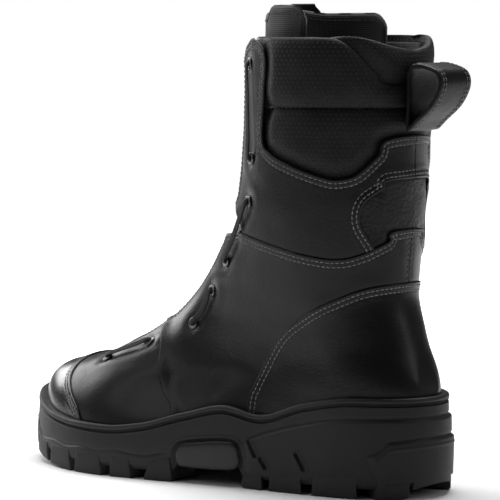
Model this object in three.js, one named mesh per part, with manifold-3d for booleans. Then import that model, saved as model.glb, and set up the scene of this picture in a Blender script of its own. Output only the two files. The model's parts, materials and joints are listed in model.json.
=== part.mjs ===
// A black leather firefighter's boot for the left foot, with a laced-in front zip.
// Millimetres. Design frame: toe towards -Y, heel towards +Y, the wearer's outer (lateral) side +X, up +Z.
// The last line of the file moves the whole boot so that its box is centred over the origin.
import * as THREE from "three";
import { mergeVertices } from "three/addons/utils/BufferGeometryUtils.js";
import Module from "manifold-3d";

const wasm = await Module();
wasm.setup();

// ---------------------------------------------------------------- driving dimensions
const TOE = -151.5; // front of the upper at the sole
const HEEL = 147.5; // back of the upper at the sole
const LEATHER = 2.2; // thickness of the upper leather
const GAP = 0.3; // clearance between neighbours
const PAD = 4.5; // depth of the padded collar
const LINING = [-5, -6.6]; // outer and inner face of the lining
const STIFFENER = [-2.5, -4.5]; // outer and inner face of the heel stiffener and the toe cap
const ZIP_PANEL = [-6.2, -7.8]; // outer and inner face of the zip panels
const ZIP_TAPE = [-8.3, -9.1]; // outer and inner face of the zip tapes
const TONGUE = [-11.5, -15.5]; // outer and inner face of the padded tongue
const RAND = 4; // height of the rim strip on the sole
const BOARD = 2; // thickness of the insole board
const PLATE = 1; // thickness of the puncture-resistant plate
const FOOTBED = 4; // thickness of the removable footbed
const BED_GAP = 0.4; // clearance between the layers under the foot
const COLLAR_CHANNEL = 234.5; // height of the sewn channel between the two collar rolls
const STRAP_WIDTH = 33; // width of the pull loop
const STRAP = 2.4; // thickness of the pull loop
const LACE = 0.9; // radius of the lace
const LACE_UNDER = -4.2; // the lace between the facing and the zip panel
const LACE_OVER = 2.7; // the lace on the outside of the facing
const LACE_BEHIND = -9.9; // the lace behind the zip panel
const CLOSED_ZIP = 262; // height of the slider when the zip is closed
const COLUMNS = 32; // facets around the upper
const ROWS = [12, 44, 56, 64, 69, 76, 85, 97, 111, 127, 147, 172, 215, 282]; // facets up the upper
const LOW_ROWS = ROWS.filter((z) => z < 80);

// Ridge of the boot from the toe tip, over the instep, up the front: [z, y].
const RIDGE = [
  [12, -151.5], [40, -151.5], [49, -149], [56, -144], [63, -132], [67, -118], [70.5, -102],
  [75, -87], [81, -73], [88, -58], [97, -43], [109, -27], [124, -13], [142, -1], [162, 8],
  [182, 14], [205, 17.5], [240, 20], [300, 22],
];
// Centre of the back from the sole to the top: [z, y].
const BACK = [
  [12, 146], [40, 147.5], [57, 147], [75, 143], [98, 135.5], [125, 129.5], [160, 131.5],
  [192, 133.3], [220, 134], [300, 137],
];
// Plan outline at the sole, every 15 degrees from the toe round to the heel: x of each side.
const LATERAL = [-11, 10, 28, 43, 52.5, 52, 46, 41.5, 40, 38.5, 31, 17.5, 0];
const MEDIAL = [-11, -31, -41, -48, -48.5, -43.5, -37, -35, -37, -38, -31, -17.5, 0];
// Half width of the upper by height, and the depth of its round back: [z, mm].
const WIDTH = [
  [12, 39], [60, 39], [80, 38.5], [100, 40], [120, 44], [150, 50], [180, 53.5], [220, 55], [300, 57],
];
const ROUNDING = [[12, 44], [60, 45], [100, 48], [130, 52], [170, 57], [300, 57]];
// Side profiles of the sole: [y, z].
const RIM = [
  [-152, 47], [-146, 44.5], [-133, 39], [-110, 34.5], [-89, 32.5], [-60, 32], [-35, 35], [-3, 44],
  [24, 50], [48, 46], [82, 56], [116, 61], [152, 61],
];
const FLOOR = [
  [-152, 30], [-130, 23], [-95, 16], [-50, 16], [-10, 19], [30, 26], [60, 29], [150, 30],
];
const SPLIT = [
  [-158, 26.5], [-140, 18.5], [-115, 12.5], [-80, 10.5], [-10, 10.5], [34, 11], [60, 15],
  [110, 23], [130, 26], [155, 27],
];
const GROUND = [
  [-158, 20], [-148, 13], [-130, 6], [-105, 1.5], [-80, 0], [-12, 0], [-6, 6], [33, 6.5], [39, 0],
  [136, 0], [146, 5], [155, 9],
];
// Half width of the opening between the two facings: [z, mm].
const THROAT = [
  [79, 1], [80, 9], [83, 13], [88, 14], [96, 13], [108, 12.5], [119, 13.5], [138, 19], [152, 27],
  [166, 31], [200, 31.5], [300, 31.5],
];

// Seams of the upper in the side view: [y, z].
const TOE_SEAM = [[-78, 6], [-86, 34], [-100, 48], [-108, 56], [-111.5, 63], [-112, 90]];
const VAMP_SEAM = [[-6, 6], [-16, 42], [-26, 54], [-33, 68], [-36, 80], [-44, 94], [-60, 130]];
const COUNTER_SEAM = [
  [37, 6], [39, 52], [42, 62], [49, 76], [61, 94], [79, 107], [101, 118.5], [127, 128], [175, 128.5],
];
const QUARTER_SEAM = [
  [-12, 166], [10, 162], [31, 157.5], [58, 152], [85, 146.5], [105, 144], [117, 147], [127, 154],
  [132, 161], [175, 162],
];
const ACHILLES_SEAM = [
  [124, 140], [122, 152], [118, 164], [118, 172], [120.5, 179], [127, 186], [132, 191.5],
  [175, 193.5],
];
const COLLAR_SEAM = [
  [47, 290], [48, 275.5], [57, 272], [62.5, 263], [60, 238], [59, 214], [66, 206], [81, 200],
  [100, 193.5], [108, 192], [117, 195], [125.5, 206], [132, 217], [175, 220],
];
const COLLAR_TOP = [
  [30, 276], [70, 276.3], [100, 276.5], [114, 275.5], [122, 269.5], [129, 261.5], [136, 255.5],
  [175, 253],
];
const FACING_TOP = [[-60, 255], [28, 255], [31, 262], [37, 270], [48, 275.5], [60, 300], [-60, 300]];
const LINING_TOP = [[112, 279], [124, 275], [134, 271], [146, 267], [175, 262]];
const NOTCH = [[34, 158], [14, 187], [-16, 176], [-8, 150]];

// Heights of the eyelets in the facings, top to bottom, and how far each lies outside the facing's edge.
const EYELETS = [
  [260, 12], [202.5, 14], [176, 11], [138, 10], [118, 9.5], [97, 9], [83, 9.5], [70.5, 0],
];
const LAST_EYELET_X = 27; // the lowest eyelet is in the vamp, beside the end of the throat

// Gaps between the blocks of the tread: [y of the gap, half its width, its height].
const TREAD_GAPS = [
  [-112, 2, 6], [-85, 2, 7], [-57, 3, 6], [-33.5, 4, 6], [54, 2, 7], [82.5, 3.5, 8], [119.5, 5, 9],
];
const ARCH_WINDOW = [
  [-8, 11], [-9, 20], [-2, 25.5], [30, 28.5], [36, 20], [35.5, 13], [28, 9.8], [0, 9.3],
];
const ARCH_CENTRE = [14, 19];
// Outline of the pull loop's outer face in the side view, and the middle of its hole: [y, z].
const LOOP_OUTLINE = [
  [138.2, 221], [147, 225.5], [158, 233], [163.5, 246], [161, 257], [152, 262.5], [143, 262],
  [138.6, 256], [138.2, 239],
];
const LOOP_CENTRE = [147, 244];

// ---------------------------------------------------------------- curves
// A smooth curve through [x, value] points that never overshoots them.
function curve(points) {
  const xs = points.map((p) => p[0]);
  const ys = points.map((p) => p[1]);
  const last = xs.length - 1;
  const step = xs.slice(1).map((x, i) => x - xs[i]);
  const rise = step.map((h, i) => (ys[i + 1] - ys[i]) / h);
  const slope = xs.map((x, i) => {
    if (i === 0) return rise[0];
    if (i === last) return rise[last - 1];
    if (rise[i - 1] * rise[i] <= 0) return 0;
    const before = 2 * step[i] + step[i - 1];
    const after = step[i] + 2 * step[i - 1];
    return (before + after) / (before / rise[i - 1] + after / rise[i]);
  });
  return (x) => {
    const at = Math.min(Math.max(x, xs[0]), xs[last]);
    let i = 0;
    while (i < last - 1 && at > xs[i + 1]) i++;
    const h = step[i];
    const t = (at - xs[i]) / h;
    const a = (1 + 2 * t) * (1 - t) ** 2 * ys[i] + t * (1 - t) ** 2 * h * slope[i];
    return a + t * t * (3 - 2 * t) * ys[i + 1] + t * t * (t - 1) * h * slope[i + 1];
  };
}

const clamp01 = (x) => Math.min(Math.max(x, 0), 1);
const ease = (a, b, x) => {
  const t = clamp01((x - a) / (b - a));
  return t * t * (3 - 2 * t);
};
const round = (x) => Math.sqrt(Math.max(0, 1 - (1 - clamp01(x)) ** 2));
const ridgeY = curve(RIDGE);
const backY = curve(BACK);
const halfWidth = curve(WIDTH);
const rounding = curve(ROUNDING);
const rimZ = curve(RIM);
const floorZ = curve(FLOOR);
const splitZ = curve(SPLIT);
const groundZ = curve(GROUND);
const throat = curve(THROAT);
const middleX = (y) => -11 * clamp01(-y / 151.5) ** 1.5;

// Height of the ridge over a given y, by halving the interval.
function ridgeZ(y) {
  let low = y > TOE ? 40 : 12;
  let high = 300;
  for (let n = 0; n < 40; n++) {
    const mid = (low + high) / 2;
    if (ridgeY(mid) < y) low = mid;
    else high = mid;
  }
  return (low + high) / 2;
}

// x of the plan outline at an angle from the toe, positive on the lateral side.
const LOOP = [...LATERAL, ...MEDIAL.slice(1, -1).reverse()];
function outlineX(angle) {
  const n = LOOP.length;
  const turn = ((angle / (2 * Math.PI)) * n + n) % n;
  const i = Math.floor(turn);
  const t = turn - i;
  const [a, b, c, d] = [i - 1, i, i + 1, i + 2].map((k) => LOOP[(k + n) % n]);
  const square = 2 * a - 5 * b + 4 * c - d;
  const cube = 3 * b - a - 3 * c + d;
  return 0.5 * (2 * b + (c - a) * t + square * t * t + cube * t ** 3);
}

// Half width of the foot outline at y, measured from the middle line.
function footHalf(side, y) {
  const angle = Math.acos(Math.min(1, Math.max(-1, 1 - (2 * (y - TOE)) / (HEEL - TOE))));
  return Math.abs(outlineX(side * angle) - middleX(y));
}

// Half width of the upper at y and z: a crowned arch over the forefoot, a tube around the ankle.
function upperHalf(side, y, z) {
  const front = ridgeY(z);
  const back = backY(z);
  const rear = rounding(z);
  const reach = y > back - rear ? (back - y) / rear : (y - front) / (back - front - rear);
  const tube = halfWidth(z) * round(reach);
  const base = rimZ(y) - 6;
  const rise = clamp01((z - base) / Math.max(ridgeZ(y) - base, 1));
  const heelwards = ease(-110, -30, y);
  const foot = footHalf(side, y);
  const crown = 2.4 - 0.6 * heelwards;
  const shoulder = 2.3 - 0.5 * heelwards;
  const arch = foot * (1 - rise ** crown) ** (1 / shoulder);
  const low = 1 - ease(0, 34, z - base);
  const leg = ease(-70, 15, y);
  return arch * (1 - leg) + (tube * (1 - low) + foot * low) * leg;
}

// The outer face of the upper: angle 0 at the centre back, pi at the front, lateral side positive.
function onUpper(angle, z) {
  const side = Math.sin(angle) >= 0 ? 1 : -1;
  const y = backY(z) + ((ridgeY(z) - backY(z)) * (1 - Math.cos(angle))) / 2;
  return new THREE.Vector3(middleX(y) + side * upperHalf(side, y, z), y, z);
}

function upperNormal(angle, z) {
  const d = 0.02;
  const along = onUpper(angle + d, z).sub(onUpper(angle - d, z));
  const up = onUpper(angle, z + 0.5).sub(onUpper(angle, z - 0.5));
  return up.cross(along).normalize();
}

const upper = (angle, z, offset) => onUpper(angle, z).addScaledVector(upperNormal(angle, z), offset);

// Angle on the front of the upper at which its half width is x.
function frontAngle(side, x, z) {
  let wide = Math.PI / 2;
  let narrow = Math.PI;
  for (let n = 0; n < 40; n++) {
    const mid = (wide + narrow) / 2;
    const y = backY(z) + ((ridgeY(z) - backY(z)) * (1 - Math.cos(mid))) / 2;
    if (upperHalf(side, y, z) > x) wide = mid;
    else narrow = mid;
  }
  return side * ((wide + narrow) / 2);
}

// ---------------------------------------------------------------- solids
function meshGeometry(points, triangles) {
  const geometry = new THREE.BufferGeometry();
  const coordinates = points.flatMap((p) => p.toArray());
  geometry.setAttribute("position", new THREE.Float32BufferAttribute(coordinates, 3));
  geometry.setIndex(triangles.flat());
  const volume = triangles.reduce((sum, [a, b, c]) => {
    const cross = new THREE.Vector3().crossVectors(points[b], points[c]);
    return sum + points[a].dot(cross);
  }, 0);
  if (volume < 0) geometry.setIndex(triangles.flatMap(([a, b, c]) => [a, c, b]));
  return geometry;
}

function toSolid(geometry) {
  const bare = geometry.clone();
  bare.deleteAttribute("normal");
  bare.deleteAttribute("uv");
  const merged = mergeVertices(bare, 1e-3);
  const vertProperties = new Float32Array(merged.attributes.position.array);
  const triVerts = new Uint32Array(merged.index.array);
  return new wasm.Manifold(new wasm.Mesh({ numProp: 3, vertProperties, triVerts }));
}

function toGeometry(solid) {
  const mesh = solid.getMesh();
  const geometry = new THREE.BufferGeometry();
  geometry.setAttribute("position", new THREE.Float32BufferAttribute(mesh.vertProperties, 3));
  geometry.setIndex(new THREE.Uint32BufferAttribute(mesh.triVerts, 1));
  geometry.computeVertexNormals();
  return geometry;
}

// Joined quads between two rows of vertex numbers.
function strip(rowA, rowB, closed) {
  const quads = closed ? rowA.length : rowA.length - 1;
  const triangles = [];
  for (let i = 0; i < quads; i++) {
    const j = (i + 1) % rowA.length;
    triangles.push([rowA[i], rowA[j], rowB[j]], [rowA[i], rowB[j], rowB[i]]);
  }
  return triangles;
}

// A sheet with thickness: place(u, v, offset) gives its points, closed joins the last u to the first.
function sheet(place, us, vs, outer, inner, closed = false) {
  const points = [];
  const grid = [outer, inner].map((offset) =>
    vs.map((v) => us.map((u) => points.push(place(u, v, offset)) - 1)));
  const triangles = [];
  for (let k = 0; k < vs.length - 1; k++) {
    triangles.push(...strip(grid[0][k], grid[0][k + 1], closed));
    triangles.push(...strip(grid[1][k], grid[1][k + 1], closed).map(([a, b, c]) => [a, c, b]));
  }
  const top = vs.length - 1;
  triangles.push(...strip(grid[1][0], grid[0][0], closed));
  triangles.push(...strip(grid[0][top], grid[1][top], closed));
  if (!closed) {
    const end = us.length - 1;
    const column = (side, i) => grid[side].map((row) => row[i]);
    triangles.push(...strip(column(0, 0), column(1, 0), false));
    triangles.push(...strip(column(1, end), column(0, end), false));
  }
  return toSolid(meshGeometry(points, triangles));
}

// A solid between level rings around the upper, with ladder-like caps from side to side.
function stack(rings) {
  const points = rings.flat();
  const n = rings[0].length;
  const rows = rings.map((ring, k) => ring.map((p, i) => k * n + i));
  const triangles = [];
  for (let k = 0; k < rows.length - 1; k++) triangles.push(...strip(rows[k], rows[k + 1], true));
  const half = n / 2;
  const cap = (row, flip) => {
    for (let i = 0; i < half; i++) {
      const quad = [row[i], row[i + 1], row[(n - i - 1) % n], row[(n - i) % n]];
      const pair = [[quad[0], quad[2], quad[1]], [quad[0], quad[3], quad[2]]];
      const whole = pair.filter((t) => new Set(t).size === 3);
      triangles.push(...whole.map((t) => (flip ? [t[0], t[2], t[1]] : t)));
    }
  };
  cap(rows[0], false);
  cap(rows[rows.length - 1], true);
  return toSolid(meshGeometry(points, triangles));
}

function range(from, to, steps) {
  return Array.from({ length: steps + 1 }, (v, i) => from + ((to - from) * i) / steps);
}
const around = range(0, 2 * Math.PI, COLUMNS).slice(0, -1);

// A ring that follows the foot outline, grown by an offset, at the heights that height(y) gives.
function soleRing(offset, height) {
  return around.map((angle) => {
    const y = (TOE + HEEL) / 2 - ((HEEL - TOE) / 2 + offset) * Math.cos(angle);
    return new THREE.Vector3(outlineX(angle) + offset * Math.sin(angle), y, height(y));
  });
}

const soleLayer = (layers) => stack(layers.map(([offset, height]) => soleRing(offset, height)));

// The points of an outline without those that lie on a straight line between their neighbours.
function corners(outline) {
  return outline.filter(([x, y], i) => {
    const [x0, y0] = outline[(i + outline.length - 1) % outline.length];
    const [x1, y1] = outline[(i + 1) % outline.length];
    return Math.abs((x - x0) * (y1 - y) - (y - y0) * (x1 - x)) > 1e-5;
  });
}

// A side-view outline of [y, z] points, extruded across the boot.
function acrossBoot(outline, from = -100, to = 100) {
  const shape = new THREE.Shape(corners(outline).map(([y, z]) => new THREE.Vector2(y, z)));
  const geometry = new THREE.ExtrudeGeometry(shape, { depth: to - from, bevelEnabled: false });
  geometry.applyMatrix4(new THREE.Matrix4().makeBasis(
    new THREE.Vector3(0, 1, 0), new THREE.Vector3(0, 0, 1), new THREE.Vector3(1, 0, 0)));
  geometry.translate(from, 0, 0);
  return toSolid(geometry);
}

// A front-view outline of [x, z] points, extruded from the front of the boot back to y.
function throughFront(outline, back) {
  const front = -200;
  const shape = new THREE.Shape(corners(outline).map(([x, z]) => new THREE.Vector2(x, z)));
  const geometry = new THREE.ExtrudeGeometry(shape, { depth: back - front, bevelEnabled: false });
  geometry.applyMatrix4(new THREE.Matrix4().makeBasis(
    new THREE.Vector3(1, 0, 0), new THREE.Vector3(0, 0, 1), new THREE.Vector3(0, -1, 0)));
  geometry.translate(0, back, 0);
  return toSolid(geometry);
}

function box(min, max) {
  const size = max.map((v, i) => v - min[i]);
  const geometry = new THREE.BoxGeometry(...size);
  geometry.translate(...min.map((v, i) => v + size[i] / 2));
  return toSolid(geometry);
}

function smooth(seam, steps = 2) {
  const spline = new THREE.SplineCurve(seam.map(([y, z]) => new THREE.Vector2(y, z)));
  return spline.getPoints(seam.length * steps).map((p) => [p.x, p.y]);
}

// A thin cut along a seam line, through both sides of the boot.
function seamCut(line, width = GAP) {
  const shifted = (side) => line.map(([y, z], i) => {
    const [y0, z0] = line[Math.max(i - 1, 0)];
    const [y1, z1] = line[Math.min(i + 1, line.length - 1)];
    const length = Math.hypot(y1 - y0, z1 - z0);
    return [y - (side * width * (z1 - z0)) / length / 2, z + (side * width * (y1 - y0)) / length / 2];
  });
  return acrossBoot([...shifted(-1), ...shifted(1).reverse()]);
}

// ---------------------------------------------------------------- materials
function finish(color, roughness, metalness = 0) {
  return new THREE.MeshStandardMaterial({ color, roughness, metalness });
}
const leather = finish(0x17181a, 0.42);
const glossyLeather = finish(0x121315, 0.22);
const perforated = finish(0x1e1f21, 0.6);
const textile = finish(0x3a3c3f, 0.95);
const webbing = finish(0x141416, 0.85);
const rubber = finish(0x222326, 0.7);
const foam = finish(0x2a2b2e, 0.8);
const plastic = finish(0x202124, 0.4);
const board = finish(0x8a7a63, 0.9);
const steel = finish(0x9a9da1, 0.35, 1);
const blackMetal = finish(0x26272a, 0.35, 0.9);

const boot = new THREE.Group();
function add(name, shape, material) {
  const geometry = shape instanceof THREE.BufferGeometry ? shape : toGeometry(shape);
  const mesh = new THREE.Mesh(geometry, material);
  mesh.name = name;
  boot.add(mesh);
  return mesh;
}

// ---------------------------------------------------------------- sole
// The space that the upper fills inside the cup of the sole.
function upperCore(offset, floorLift) {
  const core = stack(LOW_ROWS.map((z) => around.map((angle) => upper(angle, z, offset))));
  return core.subtract(belowFloor(floorLift));
}

function belowFloor(lift) {
  const top = range(-170, 170, 40).map((y) => [y, floorZ(y) + lift]);
  return acrossBoot([...top, [170, -60], [-170, -60]]);
}

function archWindow(growth) {
  const grown = ARCH_WINDOW.map((point) =>
    point.map((value, axis) => value + growth * Math.sign(value - ARCH_CENTRE[axis])));
  return acrossBoot(smooth([...grown, grown[0]], 2).slice(0, -1));
}

function makeSole() {
  const inside = upperCore(0.35, 0);
  const halfUp = (y) => (groundZ(y) + splitZ(y)) / 2;
  const outsole = soleLayer([[5.5, groundZ], [6.5, halfUp], [6, splitZ]]);
  const gaps = TREAD_GAPS.map(([y, half, top]) =>
    box([-100, y - half, -5], [100, y + half, groundZ(y) + top]));
  add("outsole", gaps.reduce((solid, gap) => solid.subtract(gap), outsole), rubber);

  const walls = soleLayer([[5.8, (y) => splitZ(y) + GAP], [5, (y) => rimZ(y) - RAND - 0.4]]);
  const midsole = walls.subtract(inside);
  const within = (offset) => soleLayer([[offset, () => 0], [offset, () => 70]]);
  const rails = midsole.subtract(within(2.4));
  const window = archWindow(0);
  add("midsole", midsole.subtract(archWindow(GAP).subtract(within(2))), foam);
  const insert = rails.intersect(window);
  add("arch_insert_lateral", insert.intersect(box([0, -50, 0], [100, 80, 60])), plastic);
  add("arch_insert_medial", insert.intersect(box([-100, -50, 0], [0, 80, 60])), plastic);

  const rim = soleLayer([[4.7, (y) => rimZ(y) - RAND], [4.2, rimZ]]);
  add("rand", rim.subtract(upperCore(0.35, -20)), rubber);
}

// Heights above the floor of the upper at which each layer under the foot starts.
const BOARD_LIFT = BED_GAP + PLATE + BED_GAP;
const INSIDE_LIFT = BOARD_LIFT + BOARD + BED_GAP;

function makeInsoles() {
  const layer = (offset, from, depth) => upperCore(offset, from).intersect(belowFloor(from + depth));
  add("puncture_plate", layer(-5, BED_GAP, PLATE), steel);
  add("insole_board", layer(-2.8, BOARD_LIFT, BOARD), board);
  add("footbed", layer(-7.2, INSIDE_LIFT, FOOTBED), textile);
}

// ---------------------------------------------------------------- upper

// The opening between the facings, in the front view, widened by extra to no less than a half width.
function throatCut(extra, bottom, least = 0) {
  const heights = [bottom, ...THROAT.slice(1).map(([z]) => z)].filter((z) => z >= bottom);
  const half = (z) => Math.max(throat(z) + extra, least);
  const edge = (side) => heights.map((z) => [middleX(ridgeY(z)) + side * half(z), z]);
  return throughFront([...edge(1), ...edge(-1).reverse()], 75);
}

function makeUpper() {
  const shell = sheet(upper, around, ROWS, 0, -LEATHER, true);
  const seams = [TOE_SEAM, VAMP_SEAM, COUNTER_SEAM, QUARTER_SEAM, ACHILLES_SEAM, COLLAR_SEAM];
  const lines = seams.map((seam) => smooth(seam));
  const [toe, vamp, counter, quarter, achilles, collar] = lines;
  const lateral = box([0.15, -200, 0], [100, 200, 300]);
  const medial = box([-100, -200, 0], [-0.15, 200, 300]);
  const holes = eyeletPlaces().map((place) => drill(place, 3.2, 8));
  const openings = [throatCut(0, 79), acrossBoot(NOTCH), acrossBoot(FACING_TOP), ...holes];
  const cutters = [belowFloor(GAP), ...openings, ...lines.map((line) => seamCut(line))];
  const panels = cutters.reduce((solid, cutter) => solid.subtract(cutter), shell);
  const region = (outline) => panels.intersect(acrossBoot(outline));

  add("toe_bumper", region([...toe, [-200, 90], [-200, 6]]), glossyLeather);
  add("vamp", region([...toe, ...[...vamp].reverse()]), leather);
  add("heel_counter", region([...counter, [175, 6]]), leather);
  const aroundQuarter = [...vamp, [-60, 166], ...quarter, [175, 128.5], ...[...counter].reverse()];
  const quarters = region(aroundQuarter);
  add("quarter_lateral", quarters.intersect(lateral), leather);
  add("quarter_medial", quarters.intersect(medial), leather);
  const aroundShaft = [...quarter, [175, 220], ...[...collar].reverse(), [-60, 290], [-60, 166]];
  const aboveQuarter = region(aroundShaft);
  const achillesWindow = acrossBoot([...achilles, [175, 140]]);
  add("achilles_panel", aboveQuarter.intersect(achillesWindow), leather);
  const shafts = aboveQuarter.subtract(achillesWindow);
  add("shaft_lateral", shafts.intersect(lateral), leather);
  add("shaft_medial", shafts.intersect(medial), leather);
  makeCollar(collar);
}

function makeCollar(seam) {
  const rows = [184, 206, 232, 258, 286];
  const padding = sheet(upper, around, rows, 0, -PAD, true).subtract(seamCut(seam));
  const top = smooth(COLLAR_TOP, 2);
  const aboveTop = acrossBoot([...top, [175, 300], [30, 300]]);
  const inCollar = acrossBoot([...seam, [175, 300], [47, 300]]).subtract(aboveTop);
  const leatherPart = padding.intersect(inCollar);
  const channel = [[-100, COLLAR_CHANNEL], [200, COLLAR_CHANNEL]];
  const rolls = leatherPart.subtract(seamCut(channel));
  const behindFacing = box([-100, 40, 0], [100, 200, 300]);
  const above = box([-100, -200, COLLAR_CHANNEL], [100, 200, 300]).intersect(behindFacing);
  add("collar_upper_roll", rolls.intersect(above), perforated);
  add("collar_lower_roll", rolls.subtract(above).intersect(behindFacing), perforated);
  const liningRoll = sheet(upper, around, [246, 258, 270, 282], 1.5, -PAD, true);
  const rearTop = top.filter(([y]) => y > 111);
  const crescent = acrossBoot([...rearTop, [175, 262], ...smooth(LINING_TOP, 2).reverse()]);
  add("collar_lining_roll", liningRoll.intersect(crescent).subtract(seamCut(top)), textile);
}

// Layers that lie between the leather and the foot.
function makeInnerLayers() {
  const stiffener = sheet(upper, around, ROWS.filter((z) => z < 125), ...STIFFENER, true);
  const lifted = belowFloor(INSIDE_LIFT);
  const heelCup = [[66, 0], [66, 62], [76, 84], [96, 100], [118, 108], [180, 112], [180, 0]];
  add("heel_stiffener", stiffener.subtract(lifted).intersect(acrossBoot(heelCup)), plastic);
  const capShell = sheet(upper, around, LOW_ROWS, ...STIFFENER, true);
  const capFront = [[-200, 0], [-84, 0], [-94, 60], [-97, 90], [-200, 90]];
  add("safety_toe_cap", capShell.subtract(lifted).intersect(acrossBoot(capFront)), steel);
  const lining = sheet(upper, around, [...ROWS.slice(0, -1), 275.5], ...LINING, true);
  const cutBack = acrossBoot([[100, 300], [100, 290], [118, 272], [136, 264], [180, 262], [180, 300]]);
  add("lining", lining.subtract(lifted).subtract(throatCut(16, 66, 31)).subtract(cutBack), textile);
}

// ---------------------------------------------------------------- tongue and zip
function makeTongue() {
  const rows = [92, 104, 118, 134, 152, 172, 196, 224, 252, 276];
  const wing = (z) => 2.25 - 0.8 * ease(95, 170, z);
  const corner = (t) => 13 * (1 - round(Math.min(t, 1 - t) / 0.11));
  const top = (t) => 290 + 3 * ease(0.25, 0.05, Math.abs(t - 0.5)) - corner(t);
  const place = (t, row, offset) => {
    const z = row <= 276 ? row : top(t);
    const angle = wing(z) + (2 * Math.PI - 2 * wing(z)) * t;
    return upper(angle, z, offset);
  };
  const across = [0, 0.02, 0.06, 0.12, 0.2, 0.3, 0.4, 0.5, 0.6, 0.7, 0.8, 0.88, 0.94, 0.98, 1];
  add("tongue", sheet(place, across, [...rows, 290], TONGUE[0], TONGUE[1]), textile);
  const tabRows = [266, 276, 286, 292, 296];
  const narrowing = (t, z) => (z > 294 ? 4 * (2 * t - 1) ** 3 : 0);
  const tabX = (t, z) => 12 + 25 * t - narrowing(t, z);
  const tab = (t, z, offset) => upper(frontAngle(-1, tabX(t, z), Math.min(z, 296)), z, offset);
  add("top_tab", sheet(tab, range(0, 1, 6), tabRows, -8.4, -9.9), glossyLeather);
}

const ZIP_STRAIGHT = 178;
const ZIP_SLOPE = 0.085;
const ZIP_ROWS = [84, 90, 97, 106, 117, 130, 145, 160, 178, 228, 276];
function zipY(z) {
  if (z < ZIP_STRAIGHT) return ridgeY(z);
  return ridgeY(ZIP_STRAIGHT) + (z - ZIP_STRAIGHT) * ZIP_SLOPE;
}

// Outward direction of the zip in its own plane.
function zipNormal(z) {
  const slope = z < ZIP_STRAIGHT ? ridgeY(z + 0.5) - ridgeY(z - 0.5) : ZIP_SLOPE;
  return new THREE.Vector3(0, -1, slope).normalize();
}

// A point x from the middle of the zip.
function onZip(x, z, offset) {
  const y = zipY(z);
  return new THREE.Vector3(middleX(y) + x, y, z).addScaledVector(zipNormal(z), offset);
}

const onPanel = (side, x, z, offset) => upper(frontAngle(side, x, z), z, offset);

function makeZip() {
  for (const [name, side] of [["lateral", 1], ["medial", -1]]) {
    const panelX = (t, z) => 5 + (throat(z) + 12.5 - 5) * t;
    const place = (t, z, offset) => onPanel(side, panelX(t, z), z, offset);
    const panel = sheet(place, range(0, 1, 7), [...ZIP_ROWS.slice(0, -1), 252, 276], ...ZIP_PANEL);
    const holes = panelEyelets(side).map((place) => drill(place, 2.6, 22));
    add(`zip_panel_${name}`, holes.reduce((solid, hole) => solid.subtract(hole), panel), leather);
    const onTape = (x, z, offset) => onPanel(side, x, z, offset);
    add(`zip_tape_${name}`, sheet(onTape, [3.6, 5.4, 7.4], ZIP_ROWS, ...ZIP_TAPE), webbing);
    const onTeeth = (x, z, offset) => onZip(side * x, z, offset);
    const teeth = sheet(onTeeth, [0.15, 2.3], [...ZIP_ROWS.slice(0, -1), 270], -4.6, -6.9);
    add(`zip_teeth_${name}`, teeth, blackMetal);
  }
  const stop = (z) => sheet((x, v, offset) => onZip(x, v, offset), [-2.4, 2.4], [z, z + 3], -4.4, -6.9);
  add("zip_top_stop", stop(270.5), blackMetal);
  add("zip_bottom_stop", stop(80.5), blackMetal);
}

// The slider rides on the front of the closed teeth and carries a bridge for the pull.
const SLIDER = { length: 14, half: 4.6, plate: [-4, -1.8], lip: -4.8, post: 1.5, wall: 1.2 };
const BRIDGE_GAP = 2.4;
const TAB = { length: 20, half: 4, tip: 2.6, thick: 1.3 };

function sliderFrame() {
  const up = new THREE.Vector3(0, ZIP_SLOPE, 1).normalize();
  const side = new THREE.Vector3(1, 0, 0);
  const frame = new THREE.Group();
  frame.position.copy(onZip(0, CLOSED_ZIP, 0));
  frame.quaternion.setFromRotationMatrix(new THREE.Matrix4().makeBasis(side, up.clone().cross(side), up));
  return frame;
}

// Boxes in the slider's frame, where -Y is out of the boot: [x0, x1], [out0, out1], [z0, z1].
const sliderBox = (x, out, z) => box([x[0], -out[1], z[0]], [x[1], -out[0], z[1]]);

const flatShape = (points) => new THREE.Shape(points.map(([x, z]) => new THREE.Vector2(x, z)));

// A front-view shape with thickness towards the front.
function facingForward(shape, depth) {
  const geometry = new THREE.ExtrudeGeometry(shape, { depth, bevelEnabled: false });
  return geometry.applyMatrix4(new THREE.Matrix4().makeBasis(
    new THREE.Vector3(1, 0, 0), new THREE.Vector3(0, 0, 1), new THREE.Vector3(0, -1, 0)));
}

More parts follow.
